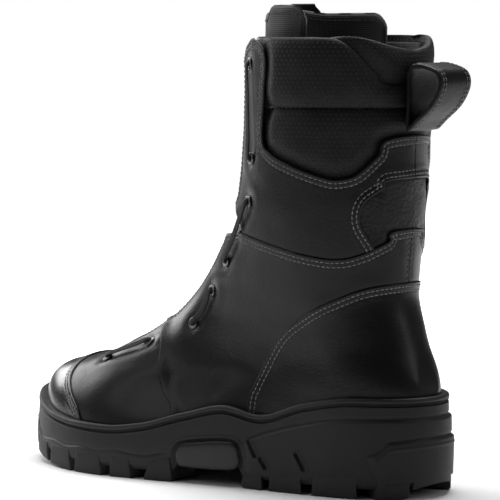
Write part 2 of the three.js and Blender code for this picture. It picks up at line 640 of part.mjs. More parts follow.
function makeSlider() {
  const { length, half, plate, lip, bridge, post, wall } = SLIDER;
  const shoulders = flatShape([[-half, 4], [-3.2, -7], [3.2, -7], [half, 4], [2.4, 7], [-2.4, 7]]);
  const outline = facingForward(shoulders, plate[1] - lip);
  outline.translate(0, -lip, 0);
  const channel = sliderBox([-2.9, 2.9], [lip - 1, plate[0]], [-length, length]);
  const top = plate[1] + BRIDGE_GAP;
  const postAt = (z) => sliderBox([-wall, wall], [plate[1] - 0.5, top], z);
  const posts = [[-4, -4 + post], [4 - post, 4]].map(postAt);
  const roof = sliderBox([-wall, wall], [top - 0.01, top + wall], [-4, 4]);
  const plateSolid = toSolid(outline).subtract(channel);
  const body = [...posts, roof].reduce((solid, piece) => solid.add(piece), plateSolid);
  const slider = add("zip_slider", body, blackMetal);
  const hinge = plate[1] + BRIDGE_GAP / 2;
  const edge = TAB.thick / 2;
  const waist = -TAB.length * 0.6;
  const tab = facingForward(flatShape([[-TAB.half, edge], [TAB.half, edge], [TAB.half, waist],
    [TAB.tip, -TAB.length], [-TAB.tip, -TAB.length], [-TAB.half, waist]]), TAB.thick);
  tab.translate(0, edge - hinge, 0);
  const eye = sliderBox([-2, 2], [hinge - 2, hinge + 2], [-6.4, -0.65]);
  const pull = add("zip_pull", toSolid(tab).subtract(eye), blackMetal);
  const frame = sliderFrame();
  frame.add(slider, pull);
  boot.add(frame);
}

// ---------------------------------------------------------------- lacing
// A place on the front of the upper, x from its middle line.
function frontPlace(side, x, z) {
  const angle = frontAngle(side, x, z);
  return { side, x, z, centre: onUpper(angle, z), out: upperNormal(angle, z) };
}

function eyeletAt(side, index) {
  const [z, beside] = EYELETS[index];
  return frontPlace(side, beside ? throat(z) + beside : LAST_EYELET_X, z);
}

const eyeletPlaces = () => [1, -1].flatMap((side) => EYELETS.map((e, i) => eyeletAt(side, i)));

// Eyelets in the zip panel lie level with those in the facing, just inside its edge.
function panelEyelet(side, index) {
  const z = Math.max(EYELETS[index][0], 86 + 6 * (7 - index));
  return frontPlace(side, throat(z) - 3.5, z);
}

const panelEyelets = (side) => EYELETS.map((e, i) => panelEyelet(side, i));

function along(place, shape) {
  const turn = new THREE.Quaternion().setFromUnitVectors(new THREE.Vector3(0, 1, 0), place.out);
  shape.applyQuaternion(turn);
  shape.translate(...place.centre.toArray());
  return shape;
}

function drill(place, radius, length) {
  return toSolid(along(place, new THREE.CylinderGeometry(radius, radius, length, 8)));
}

function makeEyelets() {
  const ringProfile = [[2.1, -1.8], [2.7, -1.8], [2.7, 0.7], [4.2, 0.7], [3.9, 1.5], [2.1, 1.5]];
  const profile = [...ringProfile, ringProfile[0]].map(([r, h]) => new THREE.Vector2(r, h));
  eyeletPlaces().forEach((place, i) => {
    const side = place.side > 0 ? "lateral" : "medial";
    const ring = along(place, new THREE.LatheGeometry(profile, 8));
    add(`eyelet_${side}_${(i % EYELETS.length) + 1}`, toSolid(ring), blackMetal);
  });
}

// A curve whose rings stand exactly at the given points.
class Route extends THREE.Curve {
  constructor(points) {
    super();
    this.points = points;
  }

  getPoint(t, target = new THREE.Vector3()) {
    const at = t * (this.points.length - 1);
    const i = Math.min(Math.floor(at), this.points.length - 2);
    return target.lerpVectors(this.points[i], this.points[i + 1], at - i);
  }

  getPointAt(u, target) {
    return this.getPoint(u, target);
  }

  getTangentAt(u, target = new THREE.Vector3()) {
    const step = 0.5 / (this.points.length - 1);
    const ahead = this.getPoint(Math.min(u + step, 1));
    return target.copy(ahead).sub(this.getPoint(Math.max(u - step, 0))).normalize();
  }

  getSpacedPoints() {
    return this.points;
  }
}

// The lace goes down one facing: over it between the eyelets of a pair, and under it to the zip panel.
function laceRoute(side) {
  const points = [];
  const at = (place, ...offsets) => {
    points.push(...offsets.map((d) => place.centre.clone().addScaledVector(place.out, d)));
  };
  const run = (a, b, steps, offset) => steps.forEach((t) => {
    at(frontPlace(side, a.x + (b.x - a.x) * t, a.z + (b.z - a.z) * t), offset);
  });
  for (let pair = 0; pair < 4; pair++) {
    const [a, b] = [eyeletAt(side, 2 * pair), eyeletAt(side, 2 * pair + 1)];
    const [pa, pb] = [panelEyelet(side, 2 * pair), panelEyelet(side, 2 * pair + 1)];
    at(pa, LACE_BEHIND, -7, LACE_UNDER);
    run(pa, a, [0.35, 0.7], LACE_UNDER);
    at(a, LACE_UNDER, -1, LACE_OVER);
    run(a, b, [0.2, 0.4, 0.6, 0.8], LACE_OVER);
    at(b, LACE_OVER, -1, LACE_UNDER);
    run(b, pb, [0.3, 0.65], LACE_UNDER);
    at(pb, LACE_UNDER, -7, LACE_BEHIND);
    if (pair < 3) run(pb, panelEyelet(side, 2 * pair + 2), [0.33, 0.67], LACE_BEHIND);
  }
  return points;
}

function makeLaces() {
  const section = new THREE.Shape(range(0, 2 * Math.PI, 6).slice(0, -1)
    .map((a) => new THREE.Vector2(LACE * Math.cos(a), LACE * Math.sin(a))));
  for (const [name, side] of [["lateral", 1], ["medial", -1]]) {
    const route = laceRoute(side);
    const options = { steps: route.length - 1, extrudePath: new Route(route), bevelEnabled: false };
    add(`lace_${name}`, toSolid(new THREE.ExtrudeGeometry(section, options)), webbing);
  }
}

// ---------------------------------------------------------------- pull loop
function makePullLoop() {
  const ring = (points) => {
    const line = smooth([...points, points[0]], 3).slice(0, -1);
    return acrossBoot(line, -STRAP_WIDTH / 2, STRAP_WIDTH / 2);
  };
  const inner = LOOP_OUTLINE.map((point) => {
    const away = new THREE.Vector2(...point).sub(new THREE.Vector2(...LOOP_CENTRE));
    away.x -= 0.9 * STRAP * Math.sign(away.x);
    return [LOOP_CENTRE[0] + away.x, LOOP_CENTRE[1] + away.y * 0.86];
  });
  add("pull_loop", ring(LOOP_OUTLINE).subtract(ring(inner)), leather);
}

makeSole();
makeInsoles();
makeUpper();
makeInnerLayers();
makeTongue();
makeZip();
makeSlider();
makeEyelets();
makeLaces();
makePullLoop();

const bounds = new THREE.Box3().setFromObject(boot, true);
const centre = bounds.getCenter(new THREE.Vector3());
boot.position.set(-centre.x, -centre.y, -bounds.min.z);

export default boot;
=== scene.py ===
"""The looks of a black leather firefighter's boot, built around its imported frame.

Lengths are in millimetres in the design frame of the CAD (toe towards -Y, lateral side +X, up +Z)
until a mesh is made: mesh_object() moves them to the row frame, in metres.
"""

import json
import math

import bpy
import numpy as np
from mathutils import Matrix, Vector, geometry, kdtree


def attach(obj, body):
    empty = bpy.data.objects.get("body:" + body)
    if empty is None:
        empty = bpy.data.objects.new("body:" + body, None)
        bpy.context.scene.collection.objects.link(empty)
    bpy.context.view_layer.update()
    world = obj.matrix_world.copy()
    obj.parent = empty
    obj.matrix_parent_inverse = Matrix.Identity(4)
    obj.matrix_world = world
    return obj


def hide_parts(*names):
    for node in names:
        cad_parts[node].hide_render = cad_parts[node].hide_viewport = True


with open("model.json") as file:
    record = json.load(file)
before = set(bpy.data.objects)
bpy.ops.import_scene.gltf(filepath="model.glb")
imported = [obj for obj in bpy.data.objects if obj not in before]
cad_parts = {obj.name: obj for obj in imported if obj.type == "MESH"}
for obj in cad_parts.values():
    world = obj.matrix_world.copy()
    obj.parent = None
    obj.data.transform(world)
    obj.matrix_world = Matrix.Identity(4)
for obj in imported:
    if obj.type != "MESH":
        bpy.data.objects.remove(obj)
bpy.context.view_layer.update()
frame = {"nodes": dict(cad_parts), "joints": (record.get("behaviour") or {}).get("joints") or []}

# ---------------------------------------------------------------- dimensions, in the design frame of the CAD
# The ridge, the top of the collar, the top of the lining and the eyelets are a little off the CAD's,
# to match the photo; the other dimensions are the CAD's.
SIDES = (("lateral", 1), ("medial", -1))
TOE, HEEL = -151.5, 147.5
# Height of the zip's slider when closed, and of the start of the zip's straight part.
CLOSED_ZIP = 262
ZIP_STRAIGHT, ZIP_SLOPE = 178, 0.085
# Place of the zip pull's hinge along the zip's normal.
PULL_HINGE = -0.6
COLLAR_CHANNEL = 234.5
STRAP_WIDTH, STRAP_THICKNESS = 33, 2.4

# Side view of the front and the back of the upper: (z, y).
RIDGE = [(12, -154), (40, -154.5), (49, -152.5), (56, -147.5), (63, -136), (67, -121), (70.5, -104),
         (75, -89), (81, -75.5), (88, -61.5), (97, -47.5), (109, -32.5), (124, -18.5), (142, -5.5),
         (162, 6), (182, 14), (205, 17.5), (240, 20), (300, 22)]
BACK = [(12, 146), (40, 147.5), (57, 147), (75, 143), (98, 135.5), (125, 129.5), (160, 131.5), (192, 133.3),
        (220, 134), (300, 137)]
# x of the foot outline at equal angles from the toe to the heel.
LATERAL = [-11, 10, 28, 43, 52.5, 52, 46, 41.5, 40, 38.5, 31, 17.5, 0]
MEDIAL = [-11, -31, -41, -48, -48.5, -43.5, -37, -35, -37, -38, -31, -17.5, 0]
# Half width of the leg, and the depth over which its back is rounded: (z, value).
WIDTH = [(12, 39), (60, 39), (80, 38.5), (100, 40), (120, 44), (150, 50), (180, 53.5), (220, 55), (300, 57)]
ROUNDING = [(12, 44), (60, 45), (100, 48), (130, 52), (170, 57), (300, 57)]
# Heights along the foot: the sole's rim, the floor inside and the underside of the tread: (y, z).
RIM = [(-152, 47), (-146, 44.5), (-133, 39), (-110, 34.5), (-89, 32.5), (-60, 32), (-35, 35), (-3, 44),
       (24, 50), (48, 46), (82, 56), (116, 61), (152, 61)]
FLOOR = [(-152, 30), (-130, 23), (-95, 16), (-50, 16), (-10, 19), (30, 26), (60, 29), (150, 30)]
GROUND = [(-158, 20), (-148, 13), (-130, 6), (-105, 1.5), (-80, 0), (-12, 0), (-6, 6), (33, 6.5), (39, 0),
          (136, 0), (146, 5), (155, 9)]
# Half width of the opening between the facings: (z, x).
THROAT = [(79, 1), (80, 9), (83, 13), (88, 14), (96, 13), (108, 12.5), (119, 13.5), (138, 19), (152, 27),
          (166, 31), (200, 31.5), (300, 31.5)]

# Seams in the side view: (y, z).
TOE_SEAM = [(-78, 6), (-86, 34), (-100, 48), (-108, 56), (-111.5, 63), (-112, 70)]
VAMP_SEAM = [(-6, 6), (-16, 42), (-26, 54), (-33, 68), (-36, 80), (-44, 94), (-60, 130)]
COUNTER_SEAM = [(37, 6), (39, 52), (42, 62), (49, 76), (61, 94), (79, 107), (101, 118.5), (127, 128),
                (175, 128.5)]
QUARTER_SEAM = [(-12, 166), (10, 162), (31, 157.5), (58, 152), (85, 146.5), (105, 144), (117, 147),
                (127, 154), (132, 161), (175, 162)]
ACHILLES_SEAM = [(124, 140), (122, 152), (118, 164), (118, 172), (120.5, 179), (127, 186), (132, 191.5),
                 (175, 193.5)]
COLLAR_SEAM = [(48, 275.5), (57, 272), (62.5, 263), (60, 238), (59, 214), (66, 206), (81, 200), (100, 193.5),
               (108, 192), (117, 195), (125.5, 206), (132, 217), (175, 220)]
COLLAR_TOP = [(30, 276), (70, 276.3), (100, 276.3), (111, 274.5), (119, 267), (126, 256), (133, 248),
              (175, 245)]
FACING_TOP = [(28, 255), (31, 262), (37, 270), (48, 275.5)]
LINING_TOP = [(103, 275.8), (114, 277), (124, 275.5), (134, 270), (146, 263), (175, 259)]
# Eyelets from the top: (z, distance from the throat's edge); the last stands at its own x.
EYELETS = [(260, 12), (202.5, 14.5), (176, 14), (138, 15), (118, 15.5), (97, 15.5), (83, 15), (70.5, 0)]
LAST_EYELET_X = 31.5


# ---------------------------------------------------------------- curves
def curve(points):
    """A smooth curve through (x, value) points that never overshoots them."""
    x, y = (np.array(c, float) for c in zip(*points))
    h = np.diff(x)
    d = np.diff(y) / h
    m = np.zeros(len(x))
    m[0], m[-1] = d[0], d[-1]
    for i in range(1, len(x) - 1):
        if d[i - 1] * d[i] > 0:
            a, b = 2 * h[i] + h[i - 1], h[i] + 2 * h[i - 1]
            m[i] = (a + b) / (a / d[i - 1] + b / d[i])

    def value(at):
        at = np.clip(np.asarray(at, float), x[0], x[-1])
        i = np.clip(np.searchsorted(x, at, side="right") - 1, 0, len(x) - 2)
        t = (at - x[i]) / h[i]
        rise = (1 + 2 * t) * (1 - t) ** 2 * y[i] + t * (1 - t) ** 2 * h[i] * m[i]
        return rise + t * t * (3 - 2 * t) * y[i + 1] + t * t * (t - 1) * h[i] * m[i + 1]

    return value


def clamp01(x):
    return np.clip(x, 0, 1)


def ease(a, b, x):
    t = clamp01((np.asarray(x, float) - a) / (b - a))
    return t * t * (3 - 2 * t)


def quarter_round(x):
    return np.sqrt(np.maximum(0, 1 - (1 - clamp01(x)) ** 2))


def unit(vectors):
    """Each row at length 1."""
    return vectors / np.linalg.norm(vectors, axis=1)[:, None]


def paired(*values):
    """The values as float arrays of one shape."""
    return np.broadcast_arrays(*(np.asarray(value, float) for value in values))


ridge_y, back_y, half_width, rounding = curve(RIDGE), curve(BACK), curve(WIDTH), curve(ROUNDING)
rim_z, floor_z, ground_z, throat = curve(RIM), curve(FLOOR), curve(GROUND), curve(THROAT)
RIDGE_HEIGHTS = np.linspace(40, 300, 5201)
RIDGE_PLACES = ridge_y(RIDGE_HEIGHTS)
LOOP = np.array(LATERAL + MEDIAL[-2:0:-1], float)


def middle_x(y):
    """x of the middle line, which bends inwards towards the toe."""
    return LATERAL[0] * clamp01(np.asarray(y, float) / TOE) ** 1.5


def ridge_z(y):
    return np.interp(y, RIDGE_PLACES, RIDGE_HEIGHTS)


def outline_x(angle):
    """x of the foot outline at an angle from the toe, positive on the lateral side."""
    n = len(LOOP)
    turn = (np.asarray(angle, float) / (2 * np.pi) * n) % n
    i = np.floor(turn).astype(int)
    t = turn - i
    a, b, c, d = (LOOP[(i + k) % n] for k in (-1, 0, 1, 2))
    return 0.5 * (2 * b + (c - a) * t + (2 * a - 5 * b + 4 * c - d) * t * t + (3 * b - a - 3 * c + d) * t**3)


def angle_of(y):
    """Angle of the foot outline at y, on the lateral side."""
    return np.arccos(np.clip(1 - 2 * (np.asarray(y, float) - TOE) / (HEEL - TOE), -1, 1))


def foot_half(side, y):
    return np.abs(outline_x(side * angle_of(y)) - middle_x(y))


def upper_half(side, y, z):
    """Half width of the upper at y and z."""
    front, back, rear = ridge_y(z), back_y(z), rounding(z)
    reach = np.where(y > back - rear, (back - y) / rear, (y - front) / (back - front - rear))
    tube = half_width(z) * quarter_round(reach)
    base = rim_z(y) - 6
    rise = clamp01((z - base) / np.maximum(ridge_z(y) - base, 1))
    heelwards = ease(-110, -30, y)
    foot = foot_half(side, y)
    arch = foot * (1 - rise ** (2.4 - 0.6 * heelwards)) ** (1 / (2.3 - 0.5 * heelwards))
    low = 1 - ease(0, 34, z - base)
    leg = ease(-70, 15, y)
    return arch * (1 - leg) + (tube * (1 - low) + foot * low) * leg


def upper_point(side, y, z):
    return np.stack([middle_x(y) + side * upper_half(side, y, z), y, z], -1)


def leg_y(angle, z):
    """y on the upper at an angle round the leg, 0 at the centre back and pi at the front."""
    return back_y(z) + (ridge_y(z) - back_y(z)) * (1 - np.cos(angle)) / 2


def on_upper(angle, z):
    """The outer face of the upper at an angle round the leg, positive on the lateral side."""
    angle, z = paired(angle, z)
    return upper_point(np.where(np.sin(angle) >= 0, 1, -1), leg_y(angle, z), z)


# Steps for the slopes of the upper: an angle along a chart's row, and mm from row to row.
ANGLE_STEP, ROW_STEP = 0.01, 0.4


def surface_normal(place, turn, v):
    """Outward normals of the upper at chart places; place is on_upper or on_fan."""
    along = place(turn + ANGLE_STEP, v) - place(turn - ANGLE_STEP, v)
    up = place(turn, v + ROW_STEP) - place(turn, v - ROW_STEP)
    return unit(np.cross(up, along) if place is on_upper else np.cross(along, up))


# Pole of the fan-shaped chart over the toe and the vamp: (y, z).
POLE = (-85.0, -20.0)
FAN_SCALE = 95.0


def fan_of(y, z):
    y, z = np.asarray(y, float), np.asarray(z, float)
    return np.arctan2(z - POLE[1], POLE[0] - y), np.hypot(y - POLE[0], z - POLE[1])


# Above FAN_TOP the ridge turns up the leg, so the chart's rows go on at about the same length.
FAN_TOP = 118
RIDGE_FAN = fan_of(*(a[RIDGE_HEIGHTS <= FAN_TOP] for a in (RIDGE_PLACES, RIDGE_HEIGHTS)))
RIDGE_FAN = tuple(np.append(a, a[-1] + d) for a, d in zip(RIDGE_FAN, (0.8, 40)))
RIM_COVER = 5
BASE_Y = np.linspace(-152, 60, 900)
BASE_FAN = fan_of(BASE_Y, rim_z(BASE_Y) - RIM_COVER)


def on_fan(turn, v):
    """The outer face of the toe and the vamp: turn 0 on the ridge, v the angle round the pole, in mm."""
    turn, v = paired(turn, v)
    fan = v / FAN_SCALE
    side = np.where(turn >= 0, 1, -1)
    base = np.interp(fan, *BASE_FAN)
    reach = base + (np.interp(fan, *RIDGE_FAN) - base) * np.cos(turn)
    y = POLE[0] - reach * np.cos(fan)
    z = POLE[1] + reach * np.sin(fan)
    return upper_point(side, y, z)


# ---------------------------------------------------------------- charts: flat, true-length coordinates
class Chart:
    """Points (s, v): s is the length along a row from its middle, v names the row; both are about in mm."""

    HALF = 240

    def __init__(self, place, limit, rows, turn_of):
        self.place, self.rows, self.turn_of = place, rows, turn_of
        self.turns = np.linspace(-limit, limit, 2 * self.HALF + 1)
        points = place(self.turns[None, :], rows[:, None])
        steps = np.linalg.norm(np.diff(points, axis=1), axis=2)
        # The place at turn 0 counts as lateral; a gap to the medial side is shared by the two.
        gap = np.maximum(0, steps[:, [self.HALF - 1]] - steps[:, [self.HALF]])
        lengths = np.concatenate([np.zeros((len(rows), 1)), np.cumsum(steps, axis=1)], axis=1)
        self.lengths = lengths - lengths[:, [self.HALF]] + gap / 2

    def row(self, v):
        j = np.clip(np.searchsorted(self.rows, v) - 1, 0, len(self.rows) - 2)
        t = clamp01((v - self.rows[j]) / (self.rows[j + 1] - self.rows[j]))[:, None]
        return self.lengths[j] * (1 - t) + self.lengths[j + 1] * t

    def turn(self, q):
        lengths = self.row(q[:, 1])
        i = np.clip((lengths <= q[:, :1]).sum(1) - 1, 0, len(self.turns) - 2)
        k = np.arange(len(q))
        a, b = lengths[k, i], lengths[k, i + 1]
        return self.turns[i] + (q[:, 0] - a) / np.maximum(b - a, 1e-9) * (self.turns[1] - self.turns[0])

    def at(self, q):
        return self.place(self.turn(q), q[:, 1])

    def normal(self, q):
        return surface_normal(self.place, self.turn(q), q[:, 1])

    def from_side(self, side, line):
        """Chart points of side-view (y, z) points."""
        y, z = np.array(line, float).T
        turn, v = self.turn_of(y, z)
        lengths = self.row(v)
        s = np.array([np.interp(side * t, self.turns, row) for t, row in zip(turn, lengths)])
        return np.stack([s, v], 1)

    def shift(self, q, d):
        """The chart line q moved sideways by d mm on the surface, to its left as seen from outside."""
        p = self.at(q)
        t = np.gradient(p, axis=0)
        away = np.cross(self.normal(q), t)
        away *= d / np.linalg.norm(away, axis=1)[:, None]
        return q + self.step(q, away)

    def step(self, q, move):
        """The change of q that moves its points by the vectors move."""
        e = 0.5
        ds = (self.at(q + [e, 0]) - self.at(q - [e, 0])) / (2 * e)
        dv = (self.at(q + [0, e]) - self.at(q - [0, e])) / (2 * e)
        aa, ab, bb = (ds * ds).sum(1), (ds * dv).sum(1), (dv * dv).sum(1)
        ra, rb = (ds * move).sum(1), (dv * move).sum(1)
        det = np.maximum(aa * bb - ab * ab, 1e-9)
        return np.stack([(ra * bb - rb * ab) / det, (rb * aa - ra * ab) / det], 1)


def leg_turn(y, z):
    reach = (y - back_y(z)) / (ridge_y(z) - back_y(z))
    return np.arccos(np.clip(1 - 2 * reach, -1, 1)), z


def fan_turn(y, z):
    fan, reach = fan_of(y, z)
    base = np.interp(fan, *BASE_FAN)
    return np.arccos(np.clip((reach - base) / (np.interp(fan, *RIDGE_FAN) - base), 0, 1)), fan * FAN_SCALE


leg = Chart(on_upper, np.pi, np.arange(20.0, 300.0, 1.0), leg_turn)
fan = Chart(on_fan, np.pi / 2, np.arange(72.5, 250.0, 1.0), fan_turn)


def catmull(values, per=None):
    """A Catmull-Rom line through the values: per points to each one, or a point about every mm."""
    v = np.asarray(values, float)
    v = v[:, None] if v.ndim == 1 else v
    ends = np.vstack([2 * v[0] - v[1], v, 2 * v[-1] - v[-2]])
    out = []
    for a, b, c, d in zip(ends, ends[1:], ends[2:], ends[3:]):
        n = per or max(2, int(np.linalg.norm(c - b)))
        t = np.arange(n)[:, None] / n
        part = 2 * b + (c - a) * t + (2 * a - 5 * b + 4 * c - d) * t**2
        out.append(0.5 * (part + (3 * b - a - 3 * c + d) * t**3))
    return np.vstack([*out, v[-1:]])


def closed_line(points, per):
    """A closed Catmull-Rom line, its last point on its first."""
    return catmull(points + points[:3], per)[per : per * (len(points) + 1) + 1]


def lengths_along(p):
    return np.concatenate([[0], np.cumsum(np.linalg.norm(np.diff(p, axis=0), axis=1))])


def at_lengths(at, lengths, p):
    return np.stack([np.interp(at, lengths, p[:, k]) for k in range(p.shape[1])], 1)


def resample(p, pitch):
    """The line with points at even distances of about pitch."""
    p = np.asarray(p, float)
    lengths = lengths_along(p)
    n = max(2, int(round(lengths[-1] / pitch)) + 1)
    return at_lengths(np.linspace(0, lengths[-1], n), lengths, p)


SEAM_PITCH = 0.6


def smooth_line(points):
    return resample(catmull(points), SEAM_PITCH)


def inside(points, loop):
    """Whether each point lies in the closed loop, both in chart coordinates."""
    result = np.zeros(len(points), bool)
    (x0, y0), (x1, y1) = loop.T, np.roll(loop, -1, axis=0).T
    keep = y0 != y1
    x0, y0, x1, y1 = x0[keep], y0[keep], x1[keep], y1[keep]
    slope = (x1 - x0) / (y1 - y0)
    for start in range(0, len(points), 1500):
        x, y = points[start : start + 1500, :1], points[start : start + 1500, 1:]
        crosses = ((y0 > y) != (y1 > y)) & (x < slope * (y - y0) + x0)
        result[start : start + 1500] = crosses.sum(1) % 2 == 1
    return result


# ---------------------------------------------------------------- meshes
def design_shift():
    """From the design frame to the row frame, from the hinge of the zip pull."""
    hinge = next(j for j in frame["joints"] if j["name"] == "pull_swing")
    normal = np.array([0, -1, ZIP_SLOPE]) / math.hypot(1, ZIP_SLOPE)
    y = float(ridge_y(ZIP_STRAIGHT)) + (CLOSED_ZIP - ZIP_STRAIGHT) * ZIP_SLOPE
    place = np.array([0, y, CLOSED_ZIP]) + normal * PULL_HINGE
    return np.array(hinge["pos_m"]) * 1000 - place


SHIFT = design_shift()


def mesh_object(name, points, faces, material, uv=None):
    mesh = bpy.data.meshes.new(name)
    mesh.from_pydata(((np.asarray(points) + SHIFT) / 1000).tolist(), [], [tuple(map(int, f)) for f in faces])
    mesh.validate()
    mesh.update()
    mesh.polygons.foreach_set("use_smooth", [True] * len(mesh.polygons))
    if uv is not None:
        layer = mesh.uv_layers.new(name="surface")
        index = np.zeros(len(mesh.loops), np.int32)
        mesh.loops.foreach_get("vertex_index", index)
        layer.data.foreach_set("uv", (np.asarray(uv)[index] / 1000).astype(np.float32).ravel())
    o = bpy.data.objects.new(name, mesh)
    bpy.context.scene.collection.objects.link(o)
    o.data.materials.append(material)
    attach(o, "boot")
    return o


def add_piece(name, solid, material, slot, *nodes):
    """A piece from points and faces, and perhaps a surface layout, in place of CAD nodes; slot is not used.
    """
    points, faces, *uv = solid
    o = mesh_object(name, points, faces, material, *uv)
    if nodes:
        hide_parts(*nodes)
    return o


def grid_faces(rows, columns, close_u=False):
    """Quads of a grid of points stored row by row."""
    faces = []
    for j in range(rows - 1):
        for i in range(columns if close_u else columns - 1):
            k = (i + 1) % columns
            a, b = j * columns, (j + 1) * columns
            faces.append((a + i, a + k, b + k, b + i))
    return faces


def outward(points, faces):
    """The faces turned so that the closed shape's volume is positive."""
    p = np.asarray(points)
    t = np.array([(f[0], f[i], f[i + 1]) for f in faces for i in range(1, len(f) - 1)])
    volume = np.einsum("ij,ij->", p[t[:, 0]], np.cross(p[t[:, 1]], p[t[:, 2]]))
    return [tuple(reversed(f)) for f in faces] if volume < 0 else faces


def tube_around(sections):
    """A closed solid over rings of points, each ring an (n, 3) array."""
    n = len(sections[0])
    points = np.vstack(sections)
    faces = grid_faces(len(sections), n, close_u=True)
    faces.append(tuple(reversed(range(n))))
    last = (len(sections) - 1) * n
    faces.append(tuple(last + i for i in range(n)))
    return points, outward(points, faces)


def joined(solids):
    """Several (points, faces) solids as one."""
    points, faces, start = [], [], 0
    for p, f in solids:
        points.append(np.asarray(p))
        faces.extend(tuple(i + start for i in face) for face in f)
        start += len(p)
    return np.vstack(points), faces


# ---------------------------------------------------------------- leather panels
def bevel(d, r=0.5):
    return r - np.sqrt(np.maximum(r * r - np.maximum(r - d, 0) ** 2, 0))


# How far the outer face stands out at a distance d in from each kind of edge.
EDGE_KINDS = {
    "over": lambda d: 1.0 * (1 - ease(0.5, 9, d)) - bevel(d, 0.6),
    "under": lambda d: -0.8 * (1 - ease(2.5, 6.0, d)),
    "cut": lambda d: -bevel(d, 0.7),
    "turned": lambda d: 0.5 * (1 - ease(1, 7, d)) - bevel(d, 1.1),
    "roll": lambda d: -3.4 * (1 - quarter_round(d / 9.0)) + 0.9 * ease(2, 14, d),
    "tucked": lambda d: -3.2 * (1 - ease(3, 14, d)) + 0.5 * ease(6, 18, d),
    "none": lambda d: 0.0 * d,
}
# Distances in from each kind of edge at which a panel gets rings of points.
RINGS = {
    "over": (0.12, 0.32, 0.6, 1.0, 1.6, 2.3, 3.1, 4.0, 5.2),
    "under": (1.4, 2.8, 4.2, 5.4),
    "cut": (0.12, 0.35, 0.7, 1.2, 2.0, 3.0),
    "turned": (0.12, 0.35, 0.7, 1.1, 1.7, 2.5, 3.5, 4.6),
    "roll": (0.15, 0.45, 0.9, 1.5, 2.3, 3.3, 4.5, 6.0, 7.6, 9.4),
    "tucked": (1.6, 3.2, 4.8, 6.4, 8.0),
    "none": (),
}


def nearest(points, to):
    tree = kdtree.KDTree(len(to))
    for i, p in enumerate(to):
        tree.insert(p, i)
    tree.balance()
    return np.array([tree.find(p)[2] for p in points])


THICK, EYELET_HOLE = 1.3, 2.5
EDGE_PITCH, TRACE_PITCH, GROOVE_PITCH = 0.9, 0.35, 0.4
# Depth and half width of the dimple round a hole and of the groove under a row of stitches.
DIMPLE, DIMPLE_REACH = 0.5, 4.2
GROOVE, GROOVE_REACH = 0.32, 0.75


